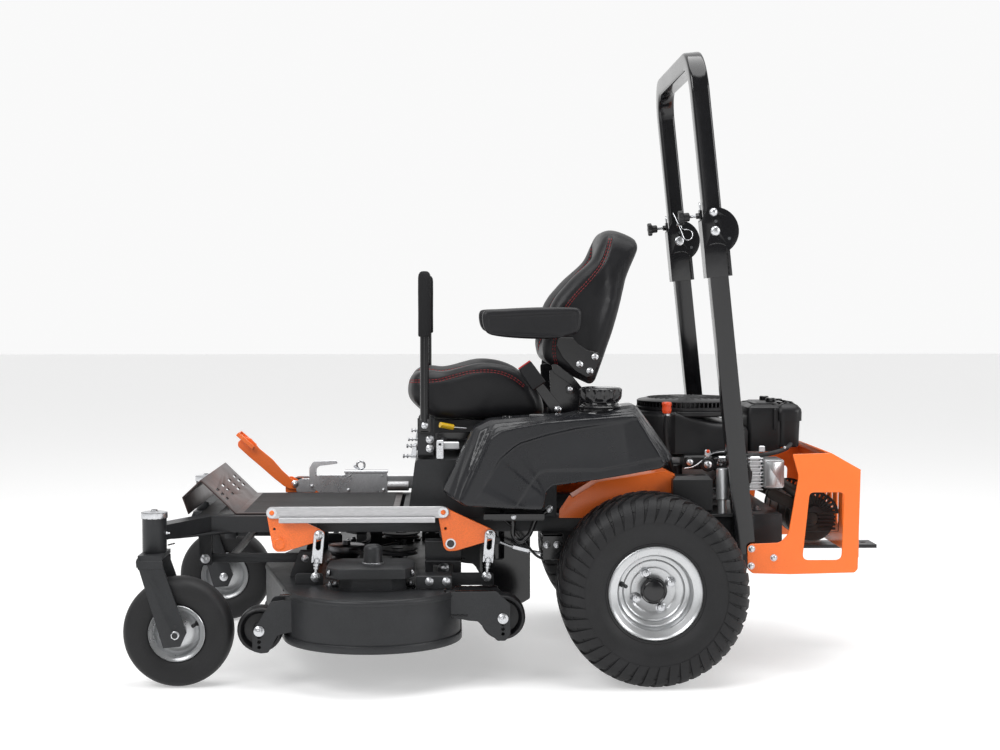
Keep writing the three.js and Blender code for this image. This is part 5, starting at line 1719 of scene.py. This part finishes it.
def hanger(end, name, s, pin):
    """The slotted plate, its forked lower end, the threaded rod and the eye at the deck."""
    top = Vector((pin[0], pin[1]))
    foot = top + Vector(HANGER_FOOT)
    along = (foot - top).normalized()
    link = f"hanger_link_{end}_{name}"

    def at(distance):
        p = top + along * distance
        return (p.x, p.y)

    across = Vector((-along.y, along.x))
    face = s * 417
    blade = slot_loop(at(0), at(62), 14.5, 8)
    shapes = [plate(blade, "y", s * 414.2, s * 419.6, holes=[slot_loop(at(2), at(34), 6.4, 6)])]
    shapes.append(tube([(at(a)[0], face, at(a)[1]) for a in (60, 80, 103)], 4.6, 12))
    lean_turn = Matrix.Translation((top.x, face, top.y)) @ Matrix.Rotation(math.atan2(-along.x, -along.y),
            4, "Y")
    for low, high, r in ((-72, -64, 9), (-83, -76, 8.5), (-91, -86, 7.5)):
        shapes.append(moved(turned([(0.01, low), (r, low), (r, high), (0.01, high)], "z", (0, 0, 0), 6),
                lean_turn))
    for t in (-1, 1):
        cheek = [top + along * 56 + across * t * 10, top + along * 74 + across * t * 10,
                 top + along * 74 + across * t * 14, top + along * 56 + across * t * 14.5]
        shapes.append(plate(rounded([(p.x, p.y) for p in cheek], 1), "y", s * 414, s * 427, edge=0.6))
    shapes.append(turned([(6.4, s * 413), (11.5, s * 413), (11.5, s * 420.4), (6.4, s * 420.4)], "y",
                         (foot.x, 0, foot.y), 28, closed=True))
    piece(f"hanger_{end}_{name}", shapes, "zinc", link, [link])


def lift_bar(name, s):
    """A flat bar with a folded lip below it, pivoted on the front and rear cranks."""
    front = LIFT_SHAFT_X["front"] + BAR_PIVOT[0]
    rear = LIFT_SHAFT_X["rear"] + BAR_PIVOT[0]
    z = LIFT_SHAFT_Z + BAR_PIVOT[1]
    flat = slot_loop((front, z), (rear, z), 16, 8)
    shapes = [plate(flat, "y", s * 414.2, s * 419.6, edge=1.0)]
    low, high = min(s * 419, s * 434), max(s * 419, s * 434)
    shapes.append(block(front + 20, rear - 22, low, high, z - 15.5, z - 12, 0.8))
    low, high = min(s * 431, s * 434.4), max(s * 431, s * 434.4)
    shapes.append(block(front + 20, rear - 22, low, high, z - 26.5, z - 13, 0.8))
    piece(f"lift_bar_plate_{name}", shapes, "bar", f"lift_bar_{name}", [f"lift_bar_{name}"])


def pedal():
    """The bent arm, its ribbed foot pad and the bracket it turns in."""
    outline = [(-831, 605), (-810, 598), (-785, 567), (-745, 534), (-716, 500), (-688, 474), (-660, 458),
               (-652, 446), (-668, 440), (-694, 442), (-712, 452), (-743, 477), (-774, 505), (-816, 541),
               (-852, 574),
               (-851, 588)]
    loop = rounded(outline, [10, 8, 10, 20, 30, 10, 8, 6, 8, 10, 20, 30, 30, 20, 12, 8], 4)
    shapes = [plate(loop, "y", 276.4, 283.6)]
    shapes.append(dome("y", (-678, 276.4, 455), -1, 9, 2))
    turn = Matrix.Translation((-826, 290, 590)) @ Matrix.Rotation(0.72, 4, "Y")
    shapes.append(moved(block(-35, 30, -34, 34, -4, 3, 2.5), turn))
    for y in (-34, 34):
        shapes.append(moved(block(-35, 30, y - 2.5, y + 2.5, -4, 9, 1.5), turn))
    shapes.append(moved(block(-35, -31, -34, 34, -4, 9, 1.5), turn))
    piece("lift_pedal_arm", shapes, "orange", "lift_pedal", ["lift_pedal"])
    ribs = [moved(block(-24 + k * 10, -19 + k * 10, -26, 26, 2.6, 5, 1), turn) for k in range(6)]
    piece("pedal_tread", ribs, "orange", "lift_pedal")
    edge = [(-706, 430), (-706, 470), (-690, 482), (-668, 472), (-640, 446), (-606, 431)]
    foot = plate(rounded(edge, [4, 10, 14, 10, 14, 4]), "y", 286, 291.4)
    piece("pedal_bracket", [foot], "orange", "chassis")
    pin = [bolt((-675, 276, 457), "y", -1, across=8, head=5, washer=12)]
    piece("pedal_pivot_bolt", pin, "zinc", "chassis")


def height_selector():
    """The hooked catch plate, its housing with a ring pin, and the tubes at both ends."""
    hook = [(-630, 443), (-630, 508), (-618, 528), (-548, 531), (-541, 521), (-599, 514), (-608, 506),
            (-608, 486),
            (-388, 486), (-388, 431), (-600, 431), (-613, 440)]
    loop = rounded(hook, [4, 10, 14, 6, 5, 10, 6, 4, 3, 3, 8, 8], 5)
    shapes = [plate(loop, "y", 264, 270)]
    shapes.append(block(-519, -390, 262.5, 294, 430, 493, 2))
    shapes.append(block(-522, -387, 258, 298, 491, 500, 2))
    ring = [(12 * math.cos(a), 12 * math.sin(a)) for a in [2 * math.pi * k / 24 for k in range(25)]]
    shapes.append(tube([(-472 + a, 278, 515 + b) for a, b in ring], 3.6, 10))
    shapes.append(rod("z", 6, 499, 505, (-472, 278, 0), 16, 1))
    lever = [(-486, 290, 502), (-492, 290, 510), (-484, 290, 520)]
    shapes.append(tube(smooth_path(lever, 4), 3, 8))
    shapes.append(plate(rounded([(-672, 431), (-672, 466), (-655, 474), (-610, 474), (-610, 431)], 8), "y",
            274, 279))
    piece("height_selector_plates", shapes, "zinc", "chassis", ["height_selector"])
    heads = [dome("y", (x, 262.5, 439), -1, 6, 3, 1) for x in (-509, -400)]
    heads.append(dome("y", (-622, 264, 451), -1, 6, 3, 1))
    heads += [dome("y", (x, 262.5, 484), -1, 3, 1.5, 0.6) for x in (-505, -404)]
    piece("selector_bolts", heads, "rim", "chassis")
    tubes = [rod("x", 15, -392, -322, (0, 278, 450), 28, 2), rod("x", 11, -604, -520, (0, 284, 446), 24, 2)]
    piece("selector_tube", tubes, "bar", "chassis")


for link_end, link_x in LIFT_SHAFT_X.items():
    link_details(link_end, link_x)
for side_name, side_sign in SIDES:
    lift_bar(side_name, side_sign)
pedal()
height_selector()


# ------------------------------------------------------------------ chassis details
def chassis_details():
    zinc, black, cast, weld = [], [], [], []
    for _, s in SIDES:
        zinc += [dome("y", (x, s * 395, z), s, 8, 4, 1.5) for x, z in ((630, 346), (629, 299), (691, 321))]
        zinc += [bolt((x, s * 330, z), "y", s, across=6, head=4, washer=10, nut=False)
                 for x, z in ((80, 560), (80, 450), (-270, 448))]
        zinc.append(plate(rounded([(-232, 588), (-212, 588), (-212, 640), (-232, 640)], 3), "y", s * 322,
                s * 325,
                          holes=[circle(-222, 628, 3.5, 12)]))
        zinc.append(plate(rounded([(-304, 588), (-287, 588), (-287, 634), (-296, 626)], 3), "y", s * 292,
                s * 295))
        for x, z in ((-312, 622), (-322, 594)):
            zinc.append(rod("x", 3.2, x, -288, (0, s * 293.5, z), 12, 0.6))
            zinc.append(rod("x", 6.5, x - 3, x + 2, (0, s * 293.5, z), 6, 0.6))
            zinc.append(rod("x", 6.5, x + 8, x + 12, (0, s * 293.5, z), 6, 0.6))
        turnbuckle = [(-64, 359), (-29, 344), (30, 329), (65, 322)]
        zinc.append(tube([(x, s * 305, z) for x, z in turnbuckle], 4.2, 12))
        zinc.append(tube([(-20, s * 305, 341.7), (24, s * 305, 330.4)], 9, 6))
        cast += [rod("y", 11, s * 296, s * 314, (x, 0, z), 20, 2) for x, z in ((-66, 360), (68, 321))]
        black.append(plate(rounded([(60, 311), (116, 311), (116, 383), (60, 383)], 6), "y", s * 342, s * 348))
        black.append(block(58, 118, min(s * 294, s * 348), max(s * 294, s * 348), 374, 383.2, 2))
        zinc += [bolt((x, s * 348, 353), "y", s, across=6.5, head=5, washer=10) for x in (72, 100)]
        cast.append(rod("y", 22, s * 300, s * 341.5, (88, 0, 330), 28, 3))
        black.append(block(-104, 60, min(s * 330, s * 436), max(s * 330, s * 436), 430, 452, 4))
        zinc.append(bolt((-23, s * 436, 441), "y", s, across=4.5, head=3, washer=7, nut=False))
        screen = [(-104, 383), (-104, 190), (-86, 172), (8, 172), (31, 185), (31, 383)]
        black.append(plate(rounded(screen, [4, 8, 8, 10, 10, 4]), "y", s * 236, s * 239))
        black.append(rod("z", 34, 296, 383, (-66, s * 215, 0), 32, 4))
        cable = [(-128, 452), (-78, 436), (-30, 405), (10, 360), (40, 322), (66, 306)]
        black.append(tube(smooth_path([(x, s * 316, z) for x, z in cable], 6), 3.4, 10))
        zinc.append(tube([(38, s * 316, 324), (64, s * 316, 307)], 3.0, 8))
        hose = [(-60, 452), (-25, 431), (-23, 387), (-4, 370), (20, 387), (40, 431), (70, 452)]
        black.append(tube(smooth_path([(x, s * 400, z) for x, z in hose], 6), 6.5, 12))
        weld += bead_line((-947, s * 458, 372), (-935, s * 430, 372), 8)
        weld += bead_line((-896, s * 297, 386), (-896, s * 297, 426), 12)
        weld += bead_line((-908, s * 297.5, 381), (-836, s * 297.5, 381), 24)
        zinc.append(bolt((-873, s * 288, 309), "y", s, across=8, head=6, washer=13))
        black.append(plate(rounded([(-905, -8), (-836, -8), (-836, 8), (-905, 8)], 4), "z", 374, 382.6))
        weld += bead_line((592, s * 296, 429), (648, s * 296, 429), 11)
        weld += bead_line((-600, s * 296, 429), (-560, s * 296, 429), 9)
    zinc += [bolt((x, y, 428.5), "z", 1, across=8, head=6, washer=13) for x in (446, 680) for y in (-190,
            190)]
    piece("chassis_bolts", zinc, "zinc", "chassis")
    piece("chassis_brackets", black, "gloss_black", "chassis")
    piece("chassis_castings", cast, "cast", "chassis")
    piece("chassis_welds", weld, "gloss_black", "chassis")
    mat = [block(-778, -352, -250, 250, 428.6, 431.5, 1)]
    mat += [block(-772, -358, -240 + 16 * k, -233 + 16 * k, 431, 433.2, 0.7) for k in range(31)]
    piece("floor_mat", mat, "rubber", "chassis")


def bead_line(a, b, count):
    a, b = Vector(a), Vector(b)
    out = []
    for k in range(count):
        p = a.lerp(b, k / max(count - 1, 1))
        r = 2.3 + 0.4 * math.sin(k * 2.3)
        out.append(moved(turned([(0.01, -r), (r * 0.8, -r * 0.5), (r, 0.4), (0.01, r)], "z", (0, 0, 0), 7),
                         Matrix.Translation(p)))
    return out


def seat_mount_details():
    paddle = tube(smooth_path([(-150, -206, 664), (-176, -222, 667), (-200, -236, 672), (-218, -246, 676)],
            5), 3.4, 10)
    handle = tube([(-186, -231, 669), (-222, -249, 677)], 8, 14)
    piece("slide_lever_rod", [paddle], "zinc", "seat_base")
    piece("slide_lever_grip", [handle], "yellow", "seat_base")
    rails = []
    for _, s in SIDES:
        rails.append(plate(rounded([(-236, 630), (84, 630), (84, 652), (-236, 652)], 3), "y", s * 187,
                s * 190))
    piece("seat_rail_strips", rails, "gloss_black", "seat_base")
    links = []
    for _, s in SIDES:
        links.append(plate(rounded([(-226, 620), (-206, 620), (60, 662), (60, 674), (44, 674)], 5), "y",
                s * 191,
                           s * 194))
        links += [bolt((x, s * 194, z), "y", s, across=6, head=4, washer=9, nut=False) for x,
                z in ((-212, 630), (48, 667))]
    piece("suspension_arms", links, "charcoal", "seat_base")
    switch = [block(-216, -169, -260, -232, 608, 630, 3)]
    piece("seat_switch", switch, "rim", "seat_base")


chassis_details()
seat_mount_details()


# ------------------------------------------------------------------ rear guard
GUARD_INSIDE, GUARD_OUTSIDE = 390, 395
SHIELD_CENTRE_X = 846


def rear_guard():
    """Two windowed sides, a slotted rear wall and the sloping top between them."""
    side = rounded([(741, 605), (848, 608), (929, 560), (923, 288), (914, 279), (736, 275), (633, 278),
            (620, 290),
                    (618, 352), (628, 359), (708, 362), (731, 386), (758, 545)],
                   [4, 8, 8, 10, 8, 40, 10, 10, 10, 10, 26, 30, 30], 6)
    window = rounded([(789, 500), (884, 500), (878, 314), (770, 314)], [14, 14, 18, 16], 5)
    shapes = [plate(list(side), "y", s * GUARD_INSIDE, s * GUARD_OUTSIDE, holes=[list(window)]) for _,
            s in SIDES]
    wall = rounded([(-392, 318), (392, 318), (392, 560), (-392, 560)], 8)
    slots = [slot_loop((y, 394), (y, 486), 12, 6) for y in range(-300, 301, 75)]
    shapes.append(plate(wall, "x", 921, 926, holes=slots))
    span = Vector((931 - 848, 561 - 608))
    turn = Matrix.Translation((848, 0, 608)) @ Matrix.Rotation(math.atan2(-span.y, span.x), 4, "Y")
    top = plate(rounded([(0, -393), (span.length, -393), (span.length, 393), (0, 393)], 3), "z", -4.6, 0)
    shapes.append(moved(top, turn))
    piece("rear_guard_panels", shapes, "orange", "chassis", ["rear_guard"])


def heat_shield():
    """The slotted shield at the muffler's end: a fan of slots over rows of slots."""
    arch = [(SHIELD_CENTRE_X + 68 * math.cos(a), 418 + 62 * math.sin(a)) for a in [math.pi * k / 20
            for k in range(21)]]
    outline = arch + [(778, 366), (914, 366)]
    for _, s in SIDES:
        holes = []
        for k in range(13):
            a = math.pi * (k + 0.5) / 13
            c, n = math.cos(a), math.sin(a)
            holes.append(slot_loop((SHIELD_CENTRE_X + 22 * c, 421 + 20 * n),
                    (SHIELD_CENTRE_X + 56 * c, 421 + 51 * n), 2.0, 3))
        for z in (408, 397, 386, 375):
            holes.append(slot_loop((790, z), (834, z), 2.4, 3))
            holes.append(slot_loop((858, z), (902, z), 2.4, 3))
        piece(f"muffler_shield_{'left' if s < 0 else 'right'}", plate(list(outline), "y", s * 197, s * 200,
                holes=holes),
              "engine_plastic", "chassis")


rear_guard()
heat_shield()
